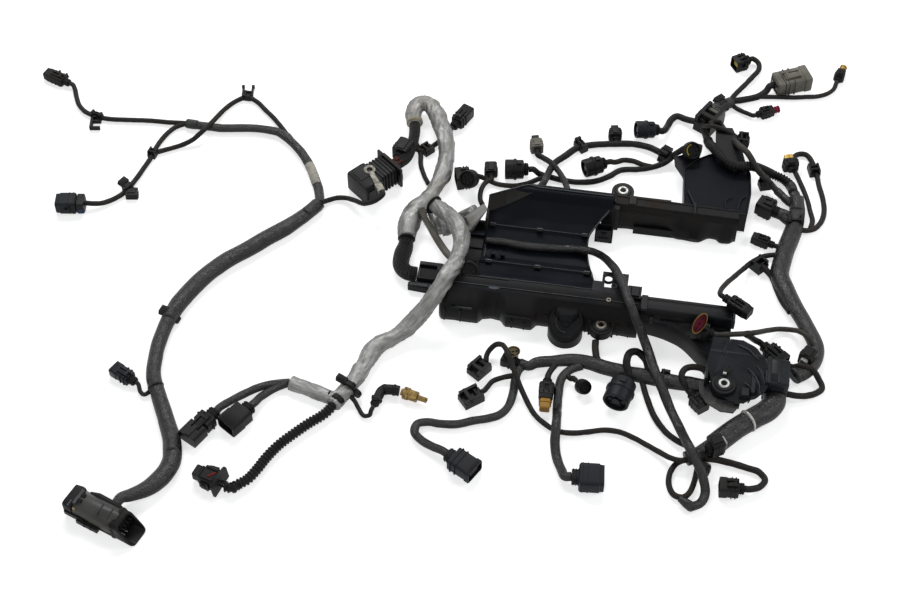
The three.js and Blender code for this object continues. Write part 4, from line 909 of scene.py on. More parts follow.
def drumPlug(name, lead, length, radius, look="plug", atStart=False, bottom=0.0, pitch=0.0, turn=0.0):
    builder = Builder()
    r = radius
    builder.round([(0, 0.5 * r), (0.05 * length, 0.62 * r), (0.08 * length, 0.55 * r), (0.13 * length, 0.64 * r),
                   (0.16 * length, 0.56 * r), (0.24 * length, 0.6 * r)], "socket", z=r)
    builder.round([(0.2 * length, 0.78 * r), (0.24 * length, 0.88 * r), (0.5 * length, 0.88 * r),
                   (0.52 * length, 1.0 * r), (0.62 * length, 1.0 * r), (0.64 * length, 0.92 * r),
                   (length - 0.8, 0.92 * r), (length, 0.88 * r), (length, 0.74 * r), (length - 5, 0.72 * r)], look,
                   z=r)
    builder.round([(length - 5.2, 0.70 * r), (length - 4.6, 0.70 * r)], "socket", z=r)
    builder.round([(length - 5, 0.30 * r), (length - 1.5, 0.28 * r)], look, z=r)
    for angle in circle(6):
        y, z = 0.47 * r * math.cos(angle), r + 0.47 * r * math.sin(angle)
        builder.round([(length - 5, 0.15 * r), (length - 3.2, 0.15 * r)], look, y=y, z=z, sides=12)
    builder.block(0.3 * length, 0.5 * length, -0.22 * r, 0.22 * r, 1.86 * r, 2.04 * r, look)
    origin, yaw = seatOf(lead, atStart)
    builder.finish(name, name, origin, yaw + turn, bottom, pitch=pitch)


def faceDrum(name, node, spot, yaw, pitch, radius, length, faceLook="socket", ring=None, flat=1.0, roll=0.0,
             pins=6, arc=None):
    # a short drum whose round face looks up at the front, its axis raised by pitch degrees
    builder = Builder()
    r = radius
    builder.round([(0, 0.5 * r), (0.15 * length, 0.8 * r), (0.2 * length, 0.96 * r), (0.6 * length, r),
                   (0.63 * length, 0.93 * r), (length - 1, 0.93 * r), (length, 0.88 * r), (length, 0.77 * r),
                   (length - 3, 0.75 * r)], "plug")
    builder.round([(length - 3.4, 0.75 * r), (length - 2.6, 0.73 * r)], faceLook)
    pinLook = "plug" if faceLook == "socket" else "socket"
    spots = [(0.45 * math.cos(a), 0.45 * math.sin(a)) for a in circle(pins)]
    if pins == 3:
        spots = [(-0.46, 0), (0, 0), (0.46, 0)]
    for y, z in spots:
        builder.round([(length - 3, 0.15 * r), (length - 1.6, 0.15 * r), (length - 1.2, 0.10 * r)], pinLook,
                      y=y * r, z=z * r, sides=12)
    if ring:
        builder.round([(length - 3.4, 0.90 * r), (length - 2, 0.94 * r), (length + 0.3, 0.94 * r),
                       (length + 0.5, 0.86 * r), (length - 0.5, 0.8 * r), (length - 3.2, 0.78 * r)], ring)
    if arc:
        builder.loft([[(length - 2 + dx, dr * math.cos(a), dr * math.sin(a))
                       for dx, dr in ((0, 0.6 * r), (1.4, 0.6 * r), (1.4, 0.72 * r), (0, 0.72 * r))]
                      for a in np.linspace(1.7, 3.9, 10)], arc)
    for points in builder.vertices:
        points[:, 2] *= flat
        points[:, 1:] = points[:, 1:] @ np.array([[math.cos(roll), math.sin(roll)],
                                                  [-math.sin(roll), math.cos(roll)]])
    away = np.array([math.cos(math.radians(yaw)) * math.cos(math.radians(pitch)),
                     math.sin(math.radians(yaw)) * math.cos(math.radians(pitch)), math.sin(math.radians(pitch))])
    x, y, z = np.array(spot) - length * away
    builder.finish(name, node, (x, y), yaw, z, pitch=pitch)


blockPlug("flat_plug", "leadP1", 36, 14, 12, wing=6, ribs=3)
blockPlug("tall_plug", "leadC3", 31, 20, 18, look="slate", collar=True, smooth=True)
blockPlug("edge_plug", "leadEdge", 32, 16, 12, look="slate", mouth=9)
blockPlug("open_plug", "leadOpen", 35, 16, 16, mouth=16, insert="olive")
blockPlug("pin_connector", "rearF", 22, 22, 20, atStart=True, collar=True, mouth=7)
blockPlug("twin_plug", "leadTwinSocket", 46, 23, 15, waist=True, ribs=1)
blockPlug("box_plug", "leadBoxSocket", 37, 25, 18, mouth=16, smooth=True, ribs=0)
blockPlug("yellow_ring_plug", "leadRingPlug", 22, 17, 17, collar=True, mouth=8, insert="yellow")
blockPlug("grey_connector", "leadGrey", 45, 28, 22, look="olive", bootLook="olive", mouth=8, slot="grey")
greyFace = Builder()
greyFace.rounded([(-0.5, 20, 16, 11), (1, 26, 21, 11), (9, 26, 21, 11)], "olive")
for row in (-1, 1):
    for column in (-1.5, -0.5, 0.5, 1.5):
        greyFace.block(-1.1, 0.2, 5.2 * column - 1.7, 5.2 * column + 1.7, 11 + 5.2 * row - 2, 11 + 5.2 * row + 2,
                       "socket")
greyFace.finish("grey_face", "grey_connector", *seatOf("leadGrey"), 0, "grey")
blockPlug("red_tip_plug", "leadRed", 30, 12, 12, tip=8, tipLook="crimson")
blockPlug("gold_tip_plug", "leadTopSensor", 27, 12, 12, tip=9, tipLook="gold")
blockPlug("side_box_plug", "leadSideBox", 26, 20, 20, atStart=True)
blockPlug("side_plug", "leadSidePlug", 27, 12, 12, atStart=True)
blockPlug("arc_plug", "arcLead", 35, 14, 13, bottom=45.4)
blockPlug("oval_connector", "greyLead", 24, 16, 15, atStart=True, bottom=30.4, mouth=6)
blockPlug("end_plug", "leadEndPlug", 32, 18, 16, collar=True, mouth=8)
blockPlug("front_plug", "leadFrontPlug", 37, 25, 17, look="slate", bootLook="slate", smooth=True, mouth=5)
blockPlug("wide_plug", "leadWide", 34, 28, 18, look="slate", bootLook="slate", smooth=True)
blockPlug("orange_tip_plug", "leadOrange", 40, 16, 14, tip=13)
blockPlug("beige_plug", "trunkFront", 20, 16, 13, atStart=True, mouth=4, insert="tan", slot="tan")
blockPlug("bracket_plug", "leadBracketPlug", 24, 16, 14)
blockPlug("lower_plug", "leadLower", 26, 18, 16, mouth=7)
drumPlug("rear_drum_left", "rearC", 28, 13, atStart=True)
drumPlug("rear_drum_middle", "rearD", 28, 12, atStart=True)
drumPlug("rear_drum_top", "rearE", 29, 11.5, look="slate", atStart=True, pitch=8, turn=26)
drumPlug("front_drum", "leadDrum", 37, 16, look="slate")
faceDrum("hex_face", "hex_connector", (-146, -66, 46), -81, 50, 13, 16)
faceDrum("ring_face", "rear_loom", (89, 163, 40), -70, 48, 11, 16, arc="yellow")
faceDrum("oval_face", "oval_connector", (114, -109, 60), -81, 52, 13.5, 13, faceLook="crimson", ring="amberRing",
         flat=0.48, roll=math.radians(58), pins=3)
faceDrum("pin_face", "pin_connector", (-171, 90, 24), -110, 40, 11.5, 16)
faceDrum("beige_face", "beige_plug", (-83, -147, 18), -70, 55, 8, 10, faceLook="tan", ring="tan", pins=3, flat=0.8)
faceDrum("small_drum", "front_loom", (0, -180, 14), -55, 42, 8.5, 14)
drumPlug("hex_connector", "ribbedHose", 16, 11, bottom=10.3, pitch=52)
print("plugs", len(pieces))


# Small clips and plugs taped onto a loom: centre, yaw, size and underside, as in the part's source
def treeClip(name, loom, x, y, yaw, length, width, bottom, height):
    # saddle over the lead, a barrel beside it and a raised wing plate
    builder = Builder()
    middle = height / 2
    builder.band(-length / 2, length / 2, width * 0.55, height, middle, "plug")
    for side in (-1, 1):
        builder.band(side * length * 0.36 - 0.7, side * length * 0.36 + 0.7, width * 0.62, height + 0.9, middle,
                     "plug")
    builder.round([(-length * 0.3, height * 0.3), (length * 0.42, height * 0.3), (length * 0.5, height * 0.22)],
                  "plug", y=-width * 0.36, z=height * 0.34, sides=18)
    builder.prism([(-length * 0.6, height * 0.75), (length * 0.55, height * 0.75), (length * 0.62, height + 1.6),
                   (-length * 0.4, height + 1.2)], width * 0.12, width * 0.6, "plug")
    builder.block(-length * 0.25, length * 0.3, width * 0.2, width * 0.5, height + 0.6, height + 1.9, "socket")
    builder.finish(name, loom, (x, y), yaw, bottom, "loom")


def railClip(name, loom, x, y, yaw, length, width, bottom, height, face="socket"):
    # flat block with two rails, a slot between them, a cross band and a peg underneath one side
    builder = Builder()
    half, side = length / 2, width / 2
    builder.blocks("plug", (-half, half, -side, side, 0, height * 0.62),
                   (-half + 1, half - 1, -side, -side + width * 0.2, height * 0.6, height),
                   (-half + 1, half - 1, side - width * 0.2, side, height * 0.6, height),
                   (-half * 0.55, -half * 0.2, -side, side, height * 0.6, height + 0.6))
    builder.block(half * 0.35, half * 0.6, -side + width * 0.2, side - width * 0.2, height * 0.6, height * 0.85,
                  face)
    builder.band(half - 0.5, half + 0.8, width * 0.72, height * 0.5, height * 0.36, face)
    builder.finish(name, loom, (x, y), yaw, bottom, "loom")


def smallPlug(name, loom, x, y, yaw, length, width, bottom, height, look="plug", tip=0.0, tipLook="plug",
              bootLook="socket"):
    builder = Builder()
    start = -length / 2
    end = length / 2 - tip
    middle = height / 2
    builder.rounded([(start, width * 0.5, height * 0.55, middle),
                     (start + 0.2 * length, width * 0.6, height * 0.62, middle)],
                    bootLook, corner=0.6)
    builder.rounded([(start + 0.18 * length, width, height, middle), (end - 2, width, height, middle),
                     (end, width * 0.86, height * 0.86, middle)], look)
    for rib in (0.3, 0.46):
        x0 = start + rib * length
        builder.band(x0, x0 + 1.1, width + 1.2, height + 0.8, middle, look)
    builder.block(start + 0.25 * length, end - 2, -0.22 * width, 0.22 * width, height - 0.3, height + 1.3, look)
    builder.block(end - 3, end + 0.05, -0.3 * width, 0.3 * width, middle - 0.22 * height, middle + 0.22 * height,
                  "socket")
    if tip:
        builder.rounded([(end - 1, width * 0.6, height * 0.6, middle),
                         (end + tip - 0.6, width * 0.6, height * 0.6, middle),
                         (end + tip, width * 0.5, height * 0.5, middle)], tipLook)
    builder.finish(name, loom, (x, y), yaw, bottom, "loom")


treeClip("tree_clip_left", "left_loom", -571, 30, 60, 10, 18, 0, 12)
railClip("rail_clip_left", "left_loom", -556, 90, 80, 12, 10, 0, 10)
railClip("plate_clip_left", "left_loom", -640, 139, 75, 9, 14, 0, 11)
sealCollar = Builder()
sealCollar.rounded([(-3, 15, 12, 8), (-2, 20, 15, 8.5), (6, 20, 15, 8.5)], "plug")
sealCollar.block(-1, 4.5, 9.2, 10.4, 2, 9, "blue")
sealCollar.finish("seal_plug_left", "left_loom", *seatOf("leadC3"), 0, "loom")
railClip("fork_clip_left", "left_loom", -465, 202, 0, 12, 10, 0, 9)
treeClip("trunk_clip_rear", "left_loom", -471, -151, 75, 9, 20, 0, 15)
smallPlug("taped_plug", "box_loom", -256, 133, 70, 26, 20, 2, 22)
railClip("drop_clip", "box_loom", -229, 148, 50, 14, 14, 0, 10)
treeClip("sleeve_band", "long_sleeve", -253.5, -217.5, 65, 6, 26, 0.5, 20)
railClip("pair_plug_rear", "bundle_loom", -118, -167, 55, 22, 18, 0, 14)
railClip("pair_plug_front", "front_loom", -121, -206, 40, 24, 18, 0, 14)
smallPlug("bundle_plug_upper", "bundle_loom", 144, -238, 30, 22, 18, 12, 20, tip=3, tipLook="white")
smallPlug("bundle_plug_lower", "bundle_loom", 134, -259, 60, 18, 14, 0, 11, tip=3, tipLook="white")
railClip("front_clip", "front_loom", 84, -152, -4, 12, 18, 0, 16)
smallPlug("small_plug_left", "rear_loom", -147, 124, 100, 20, 15, 0, 13)
smallPlug("small_plug_middle", "rear_loom", -98.5, 173.5, 105, 26, 15, 0, 14, "olive", 7, "plug")
smallPlug("small_plug_right", "rear_loom", -6, 207, 100, 22, 15, 0, 14, tip=6)
railClip("cable_clip_rear", "rear_loom", -45, 183, 40, 10, 18, 0, 12)
smallPlug("ring_connector", "rear_loom", 89, 172, -10, 20, 16, 24.7, 12)
treeClip("cable_clip_panel", "rear_loom", 56, 180, -30, 12, 14, 0, 16)
railClip("loom_bracket", "top_loom", 106, 245, 60, 34, 24, 0, 24, "olive")
railClip("panel_bracket", "top_loom", 148, 206, 0, 14, 14, 16, 14)
railClip("tube_clip", "top_loom", 178, 147, 20, 14, 12, 8, 14)

# Taped ends that join a neighbouring loom: node, spot, yaw, height of the axis, then stations of x and radius
for name, node, spot, yaw, height, stations in (
        ("cross_tail", "top_loom", (200, 135), -47, 9, ((0, 4.4), (5, 5), (13, 4.6), (20, 3))),
        ("tray_tail", "bundle_loom", (126.5, -308), 148, 6, ((-1, 4.6), (2, 5.7), (9, 5), (17, 3.2)))):
    tail = Builder()
    tail.round(stations, "trunk")
    tail.finish(name, node, spot, yaw, height, "loom", 0.0)
treeClip("junction_clip", "top_loom", 119, 276, 45, 12, 16, 0, 14)
smallPlug("cross_bracket", "right_trunk", 207, 191, 105, 24, 18, 0, 14, tip=8, tipLook="gold")
railClip("loop_clip", "right_trunk", 236, 187, 105, 16, 13, 0, 10)
smallPlug("trunk_plug", "right_trunk", 236, -104, 60, 20, 16, 8, 18, bootLook="steel")
railClip("trunk_clip_panel", "right_trunk", 178, 28, -40, 16, 16, 0, 14)
railClip("trunk_clip_side", "right_trunk", 216, 96, 95, 14, 19, 0, 18)


# Short tape wraps where a loom splits, one turn thicker than the loom
def tapeWrap(name, route, start, end, extra=0.8, look="trunk"):
    path, along = centreline(route, 0.8)
    start, end = (value if value >= 0 else along[-1] + value for value in (start, end))
    keep = (along >= start) & (along <= end)
    path, along = path[keep], along[keep]
    ease = np.clip(np.minimum(along - along[0], along[-1] - along) / 1.2, 0, 1)
    radius = routes[route]["radius"] * 1.04 + extra * ease
    relief = tapeRelief(routes[route]["radius"], len(name) + 90)
    record(tube(name, path, along, radius, looks[look], 24, relief), name, loomOf[route])


tapeWrap("wrap_upper_end", "trunkUpper", -16, -0.5)
tapeWrap("wrap_fork_end", "leadFork", -14, -1)
tapeWrap("wrap_sleeve_end", "sleeveUpper", -6, -0.5, -1.2, "foil")
tapeWrap("wrap_cross_end", "crossCord", -14, -1)
tapeWrap("wrap_tube_end", "corrugatedTube", -16, -1, 1.0)
tapeWrap("wrap_trunk_top", "trunkRight", 1, 22, 0.7)
tapeWrap("wrap_left_split", "trunkLeft", 2, 24, 0.6)
tapeWrap("trunk_tie_front", "trunkLeft", 331, 335, 1.2)
tapeWrap("trunk_tie_rear", "trunkLeft", 226, 240, 1.0)
tapeWrap("trunk_fold", "trunkLeft", 408, 424, 1.0)
tapeWrap("steel_tie", "bundle", 46, 49.5, 1.3, "steel")


# Housing, in the part's own millimetres
def sheetPiece(name, node, rows, leftOf, rightOf, heightOf, thick, look, columns):
    # sheet over y from leftOf(y) to rightOf(y) at the height heightOf(x, y), thickened downwards
    y = np.asarray(rows, float)[:, None]
    share = np.linspace(0, 1, columns)[None, :]
    x = leftOf(y) + share * (rightOf(y) - leftOf(y))
    y = np.broadcast_to(y, x.shape)
    grid = np.stack([x, y, heightOf(x, y)], axis=-1)
    piece = gridObject(name, grid, np.stack([x, y], axis=-1) * mm, looks[look], closed=False)
    thickness = piece.modifiers.new("thickness", "SOLIDIFY")
    thickness.thickness = thick * mm
    thickness.offset = 1
    thickness.use_even_offset = True
    piece.data.set_sharp_from_angle(angle=math.radians(38))
    record(piece, name, node)


def sweepPiece(name, node, stations, profileOf, look):
    # closed outline in y and z that changes along x
    builder = Builder()
    builder.loft([[(x, y, z) for y, z in profileOf(x)] for x in stations], look)
    builder.housed(name, node)


def softLine(points, reach, samples=None):
    # line through the points with its corners rounded, and the distance along it
    points = np.array(points, float)
    along = distances(points)
    even = np.linspace(0, along[-1], samples or max(6, int(along[-1] / 1.5)))
    return np.column_stack([rounded1d(even, along, points[:, k], reach) for k in range(3)]), even


def edgeLine(name, node, points, radius, look):
    # thin moulded bead along a line of points
    path, even = softLine(points, 3.0)
    record(tube(name, path, even, radius, looks[look], 10), name, node)


trayKnots = [-66.2, -48, -30.5, -28.8, -27.2, -25.5, -14, 6, 8, 12, 24.5, 26.2, 27.8, 29.5, 42, 56, 62, 70, 72]
trayHeights = [40.4, 28, 20.5, 23, 23, 20, 15, 15.5, 17, 16.5, 19.2, 22, 22, 20.2, 25, 40, 50.6, 51, 48.5]
trayLeftEdge = ([-67, 40, 48, 67, 72], [-138.8, -138.8, -138.8, -104, -93.5])
trayRightEdge = ([-67, -27, 2, 27, 48, 57, 72], [0, -10.5, -18.5, -20.5, -8.5, 5.4, 5.4])


def trayHeight(x, y):
    base = rounded1d(y, trayKnots, trayHeights, 0.7)
    sag = -1.2 * smoothStep(y, 30, 48) * (1 - smoothStep(y, 48, 60)) * np.cos((x + 66) / 60)
    return base + sag


sheetPiece("tray_sheet", "center_tray", np.arange(-66, 72.01, 0.75), lambda y: np.interp(y, *trayLeftEdge),
           lambda y: rounded1d(y, *trayRightEdge, reach=7), trayHeight, 2.0, "basin", 64)
trayTurn = np.arange(-62, 57, 3.0)
lipX = rounded1d(trayTurn, *trayRightEdge, reach=7)
# the lip bead uses the lighter edge look: a painted highlight line along the right edge
edgeLine("tray_right_lip", "center_tray", np.column_stack([lipX, trayTurn, trayHeight(lipX, trayTurn) + 0.9]), 1.1,
         "edge")
# ridge beads in the lighter edge look: painted highlight lines along the ridges
for number, y in enumerate((27, -28)):
    ridgeX = np.linspace(-134, -24 if y > 0 else -14, 24)
    edgeLine("tray_ridge_%d" % number, "center_tray",
             np.column_stack([ridgeX, np.full(24, y + 0.2), np.full(24, 22.6 + 0.5 * (y < 0))]), 0.55, "edge")
rearFlap = Builder()
flapLine = (((-138.8, 47, 51.2), (-139, 34, 35)), ((-121, 56, 51.4), (-119, 43, 39)),
            ((-104, 67, 51.4), (-97, 56, 45)), ((-93, 70, 51.4), (-84, 64, 50.6)))
for (top0, low0), (top1, low1) in zip(flapLine[:-1], flapLine[1:]):
    rearFlap.loft([[low0, top0, (top0[0], top0[1] + 1.5, top0[2] - 2), (low0[0], low0[1] + 1, low0[2] - 3)],
                   [low1, top1, (top1[0], top1[1] + 1.5, top1[2] - 2), (low1[0], low1[1] + 1, low1[2] - 3)]],
                  "dusty")
rearFlap.block(-139.2, -136.6, 20, 47, 14, 39, "dusty")
rearFlap.housed("tray_rear_flap", "center_tray", 0.5)
shelf = Builder()
shelf.blocks("socket", (-163, -138, -62, -8, 4, 17), (-158, -138, -8, 27, 6, 19))
shelf.blocks("basin", (-160, -138, 8, 14, 17, 23), (-161, -142, -30, -27, 16, 21), (-163, -160, -62, -8, 16, 22),
             (-156, -140, 24, 28, 17, 27))
shelf.housed("tray_left_shelf", "center_tray", 0.8)
rearWall = Builder()
rearWall.blocks("housing", (-93, 5.4, 69.6, 72, 0, 50), (-136, -134, -30, 46, 0, 16), (-8, 5.4, 56, 58.4, 0, 40))
rearWall.housed("tray_walls", "center_tray", 0.4)
# rear and front rim beads in the lighter edge look: painted highlight lines along the rims
edgeLine("tray_rear_edge", "center_tray",
         [(-138, 46.5, 51.3), (-120, 56, 51.5), (-96, 68.5, 51.6), (-80, 66, 51.6), (4, 66, 51.6)], 0.8, "edge")
edgeLine("tray_front_edge", "center_tray", [(-136, -65.6, 41), (-60, -65.4, 41.2), (-2, -65.6, 41)], 0.6, "edge")
for number, (x, y) in enumerate([(-131, 27), (-76, 27), (-24, 27), (-128, -28), (-72, -28), (-16, -28)]):
    tab = Builder()
    tab.block(x - 2.4, x + 2.4, y - 3.4, y - 0.6, 19, 24.6, "socket")
    tab.blocks("housing", (x - 3.4, x - 2.2, y - 3.6, y + 0.6, 19, 25),
               (x + 2.2, x + 3.4, y - 3.6, y + 0.6, 19, 25))
    # lighter bar along the top of each tab: a painted highlight
    tab.block(x - 3.4, x + 3.4, y - 0.8, y + 0.6, 21, 25.4, "edge")
    tab.housed("tray_tab_%d" % number, "center_tray", 0.25)
clipBox = Builder()
clipBox.blocks("housing", (-13, 7.5, 48, 50, 0, 20.5), (-13, 7.5, 38, 40, 0, 20.5),
               (-13, -11, 38, 50, 0, 20.5), (5.5, 7.5, 38, 50, 0, 20.5))
clipBox.block(-12, 7, 38.5, 49.5, 0, 12, "socket")
clipBox.block(-9, 3, 36.8, 38.4, 4, 9, "housing")
clipBox.block(-6, 0.5, 36.2, 38.2, 13.5, 18, "socket")
clipBox.housed("tray_clip_box", "center_tray", 0.5)
for number, x in enumerate((-129, -118)):
    guide = Builder()
    guide.blocks("basin", (x, x + 2.0, -22, -9, 14, 21.5), (x, x + 7, -17, -15, 14, 22))
    guide.housed("tray_guide_%d" % number, "center_tray", 0.5)


# Front duct: a channel whose lower front swells in two bulges
def ductProfile(x):
    leftBulge = smoothStep(x, -178, -170) - smoothStep(x, -131, -124)
    rightBulge = smoothStep(x, -106, -98) - smoothStep(x, -70, -63)
    swell = float(leftBulge + rightBulge) * 7.5 - 1.5 * math.exp(-((x + 116) / 5) ** 2)
    wave = 0.7 * math.sin(x / 9.0) + 0.5 * math.sin(x / 3.7)
    end = float(smoothStep(x, -174.1, -166))
    top = 34 + 8 * end
    front = -80 - 3 * end
    foot = -95.5 - swell + 0.4 * wave
    return [(-66.6, 0), (-66.6, top - 1), (-67.6, top), (-78, top), (-79.5, top - 0.8), (front, top - 0.8),
            (front - 2, top - 2), (-87.5 - 0.45 * swell, top - 8), (-92 - 0.9 * swell, 27),
            (-94.5 - swell + 0.3 * wave, 18), (foot - 0.6, 9), (foot + 0.6, 4), (foot + 1.5, 0)]


sweepPiece("duct_shell", "front_duct", np.linspace(-174, 48.2, 92), ductProfile, "dustyDuct")
ductRibs = Builder()
for x in (-141, -122, -112, -60, -52):
    foot = ductProfile(x)
    ductRibs.loft([[(x + dx, y - 0.7, z + 0.3) for y, z in foot[6:12]]
                   + [(x + dx, y + 1.5, z - 1.5) for y, z in foot[11:5:-1]]
                   for dx in (0, 1.5)], "housing")
for x0, x1, z in ((-100, -70, 21), (-160, -136, 25), (-56, -53, 20)):
    y = ductProfile((x0 + x1) / 2)[9][0]
    ductRibs.block(x0, x1, y - 1.0, y + 2, z, z + 1.6, "housing")
# lighter strip along the top front edge of the duct: a painted highlight line
ductRibs.block(-172, 46, -79.5, -78.6, 41.4, 42.5, "edge")
ductRibs.block(-172, -100, -68.4, -67, 41.4, 43, "housing")
for x, tall in ((-168, 22), (-150, 24), (-92, 17), (-78, 16), (-10, 20), (26, 22), (38, 22)):
    y = ductProfile(x)[10][0]
    ductRibs.block(x, x + 1.4, y - 1.3, y + 6, 3, tall, "dustyDuct")
ductRibs.housed("duct_ribs", "front_duct", 0.4)
# light bluish patch on the top of the duct near its front edge: a painted highlight
scuff = Builder()
angle = circle(13)
reach = 1 + 0.4 * np.random.default_rng(4).random(13)
scuff.loft([np.column_stack([-115 + 5.2 * reach * np.cos(angle) * k, -79.6 + 2.4 * reach * np.sin(angle) * k,
                             np.full(13, 41.6 + 0.7 * (1 - k))]) for k in (1, 0.5)], "scuff")
scuff.housed("duct_painted_highlight", "front_duct")
boss = Builder()
angle = np.linspace(0, 2 * np.pi, 49)[:-1]
bossX, bossY, bossSlope = -31, -102, 0.022
for ends in (((19.5, 0), (19.5, 20)), ((19.5, 20), (18.6, 24))):
    boss.loft([np.column_stack([bossX + r * np.cos(angle), bossY + r * np.sin(angle),
                                z * (1 + bossSlope * r * np.sin(angle))]) for r, z in ends], "dustyDuct")
for radius, width, height, look in ((16.5, 1.2, 1.2, "dustyDuct"), (11, 1.0, 1.4, "edge"),
                                    (5, 1.2, 2.0, "dustyDuct")):
    # the middle ring is drawn only as a short arc in the lighter edge look: a painted highlight arc
    arcAngle = angle if look != "edge" else angle[22:38]
    ring = [(radius - width / 2, -0.8), (radius - width / 2, height), (radius + width / 2, height),
            (radius + width / 2, -0.8)]
    boss.loft([[(bossX + r * math.cos(a), bossY + r * math.sin(a), 24 * (1 + bossSlope * r * math.sin(a)) + z)
                for r, z in ring] for a in arcAngle], look, look == "edge", look == "edge")
neck = ((-46, -84, 0), (-45, -97, -3), (-38, -103, -5), (-24, -103, -5), (-17, -97, -3), (-16, -84, 0))
neckTop = [(-43, -84, 34), (-42, -94, 33), (-37, -98, 31), (-25, -98, 31), (-20, -94, 33), (-19, -84, 34)]
boss.loft([[(x, y, z + height) for x, y, z in neck] for height in (8, 29)] + [neckTop], "dustyDuct")
boss.housed("duct_boss", "front_duct", 0.4)


def ringWall(builder, x, y, outer, inner, z0, z1, look, sides=40):
    angle = circle(sides)
    outline = [(inner, z0), (outer, z0), (outer, z1 - 0.6), (outer - 0.6, z1), (inner + 0.4, z1), (inner, z1 - 0.4),
               (inner, z0)]
    builder.loft([np.column_stack([x + r * np.cos(angle), y + r * np.sin(angle), np.full(sides, z)])
                  for r, z in outline], look, False, False)


lug = Builder()
ringWall(lug, 8, -97, 13.2, 9.4, 9, 20, "dustyDuct")
lug.blocks("dustyDuct", (-6, -3.5, -98, -84, 0, 24), (19.5, 22, -98, -84, 0, 24))
lug.housed("duct_lug", "front_duct", 0.4)
plate = Builder()
plate.blocks("housing", (3, 6, -68, -38, 38.6, 41.6), (-7, 4, -68, -52, 37, 41), (43, 53, -80, -66, 20, 40.5),
             (14, 32, -68, -38, 38.6, 41.6), (5.5, 14.5, -68, -60, 38.6, 41.6), (5.5, 14.5, -42, -38, 38.6, 41.6))
ringWall(plate, 9.8, -47, 6.4, 4.8, 38.4, 42.2, "housing")
# small ring in the lighter edge look: a painted highlight round the small hole
ringWall(plate, 17, -57, 3.4, 2.0, 41, 42.2, "edge", 20)
plate.prism([(30, 39), (48, 39), (48, 46), (33, 46)], -74, -57, "housing")
plate.prism([(36, 46), (46, 46), (45, 48), (37, 48)], -72, -60, "housing")
ringWall(plate, 13, -78, 3.0, 1.2, 41.0, 42.8, "tarnished", 16)
plate.housed("duct_plate", "front_duct", 0.4)
leftPlate = Builder()
outlinePlate = [(-207, -29), (-181, -29), (-163, -41), (-146, -45), (-146, -66), (-174, -74), (-189, -75),
                (-190, -69), (-215.5, -67), (-215.5, -61), (-207, -59)]
leftPlate.slab(outlinePlate, 0, 9.4, "housing")
leftPlate.blocks("housing", (-206, -186, -58, -56, 9, 14), (-206, -186, -38, -36, 9, 14))
leftPlate.block(-204, -176, -54, -40, 9, 10.6, "socket")
leftPlate.block(-214, -192, -67.6, -62, 9, 10.8, "housing")
leftPlate.housed("duct_left_plate", "front_duct", 0.8)


# Right duct: narrow top channel over a shoulder that widens in a hollow curve
def rightProfile(x):
    front = float(rounded1d(x, [48, 75, 98, 110, 122, 150], [-86.5, -91, -100, -112, -126, -130.5], 8))
    shoulder = 29.5 - 0.02 * (x - 48)
    return [(-68, 0), (-68, 44), (-69, 45), (-72, 45), (-72.8, 44.4), (-83, 44), (-84, 44.6), (-85.5, 44.2),
            (-88, 40), (-88.8, shoulder + 3), (-91, shoulder + 0.6), (min(-92, front + 7), shoulder),
            (front + 2.5, shoulder - 1.5), (front + 0.5, shoulder - 6), (front, shoulder - 12), (front + 0.6, 2),
            (front + 1, 0)]


sweepPiece("right_shell", "right_duct", np.linspace(48.6, 150, 46), rightProfile, "housing")
rightTop = Builder()
rightTop.blocks("housing", (49, 56, -88, -68, 43, 46.4), (60, 64, -93, -86, 27, 37))
rightTop.prism([(148, 30), (153, 30), (153, 42), (150, 45.5), (148, 45.5)], -88, -69, "housing")
rightTop.blocks("housing", (72, 96, -91.5, -89.5, 31, 32.4), (104, 122, -104, -102, 28.5, 30.5))
rightTop.housed("right_top", "right_duct", 0.5)


# Rear duct: narrow top strip over a wall whose foot waves in and out
def rearProfile(x):
    longWave = smoothStep(x, 66, 84) - smoothStep(x, 106, 120)
    shortWave = smoothStep(x, 126, 132) - smoothStep(x, 142, 148)
    wave = float(7 * longWave + 4 * shortWave) + 0.6 * math.sin(x / 5)
    top = 40 - 0.02 * (x - 6)
    return [(80, 0), (80, top - 0.5), (79, top + 0.2), (77.4, top + 0.2), (77, top - 0.6), (68, top - 0.4),
            (67.4, top + 0.3), (66.2, top + 0.3), (65.4, top - 1), (64.6, 31), (62.6, 29.5),
            (62.2 - 0.4 * wave, 18), (61 - wave, 8), (61.6 - wave, 2), (63 - wave, 0)]


sweepPiece("rear_shell", "rear_duct", np.linspace(6.4, 149, 71), rearProfile, "dustyDuct")
rearBits = Builder()
rearBits.block(2, 12, 58.6, 66, 1, 38, "housing")
ringWall(rearBits, 13, 97, 13.2, 9.4, 0, 28, "housing")
rearBits.block(4, 22, 79, 88, 20, 27.6, "housing")
rearBits.block(30, 86, 57.5, 60, 0, 12, "dustyDuct")
rearBits.block(28, 70, 80, 82.4, 30, 38, "housing")
rearBits.prism([(20, 37), (30, 37), (30, 41.6), (22, 41.6)], 66.5, 79.5, "housing")
rearBits.prism([(96, 39), (100, 39), (99, 41.8), (97, 41.8)], 64, 80, "housing")
rearBits.housed("rear_bits", "rear_duct", 0.5)

# Rear panel: a smooth sheet with a raised rim, ribs and two thin arcs
panelLeft = ([80.4, 110, 147, 165, 178, 180.6], [86, 84, 82, 95, 112, 128])
panelRight = ([80.4, 116, 152, 172, 180.6], [158, 161, 159, 148, 134])


def panelHeight(x, y):
    slope = 31.6 - 0.1 * (y - 80)
    return slope + 0.7 * np.sin((x - 84) / 75 * np.pi) * np.sin((y - 80) / 95 * np.pi) - 1.6


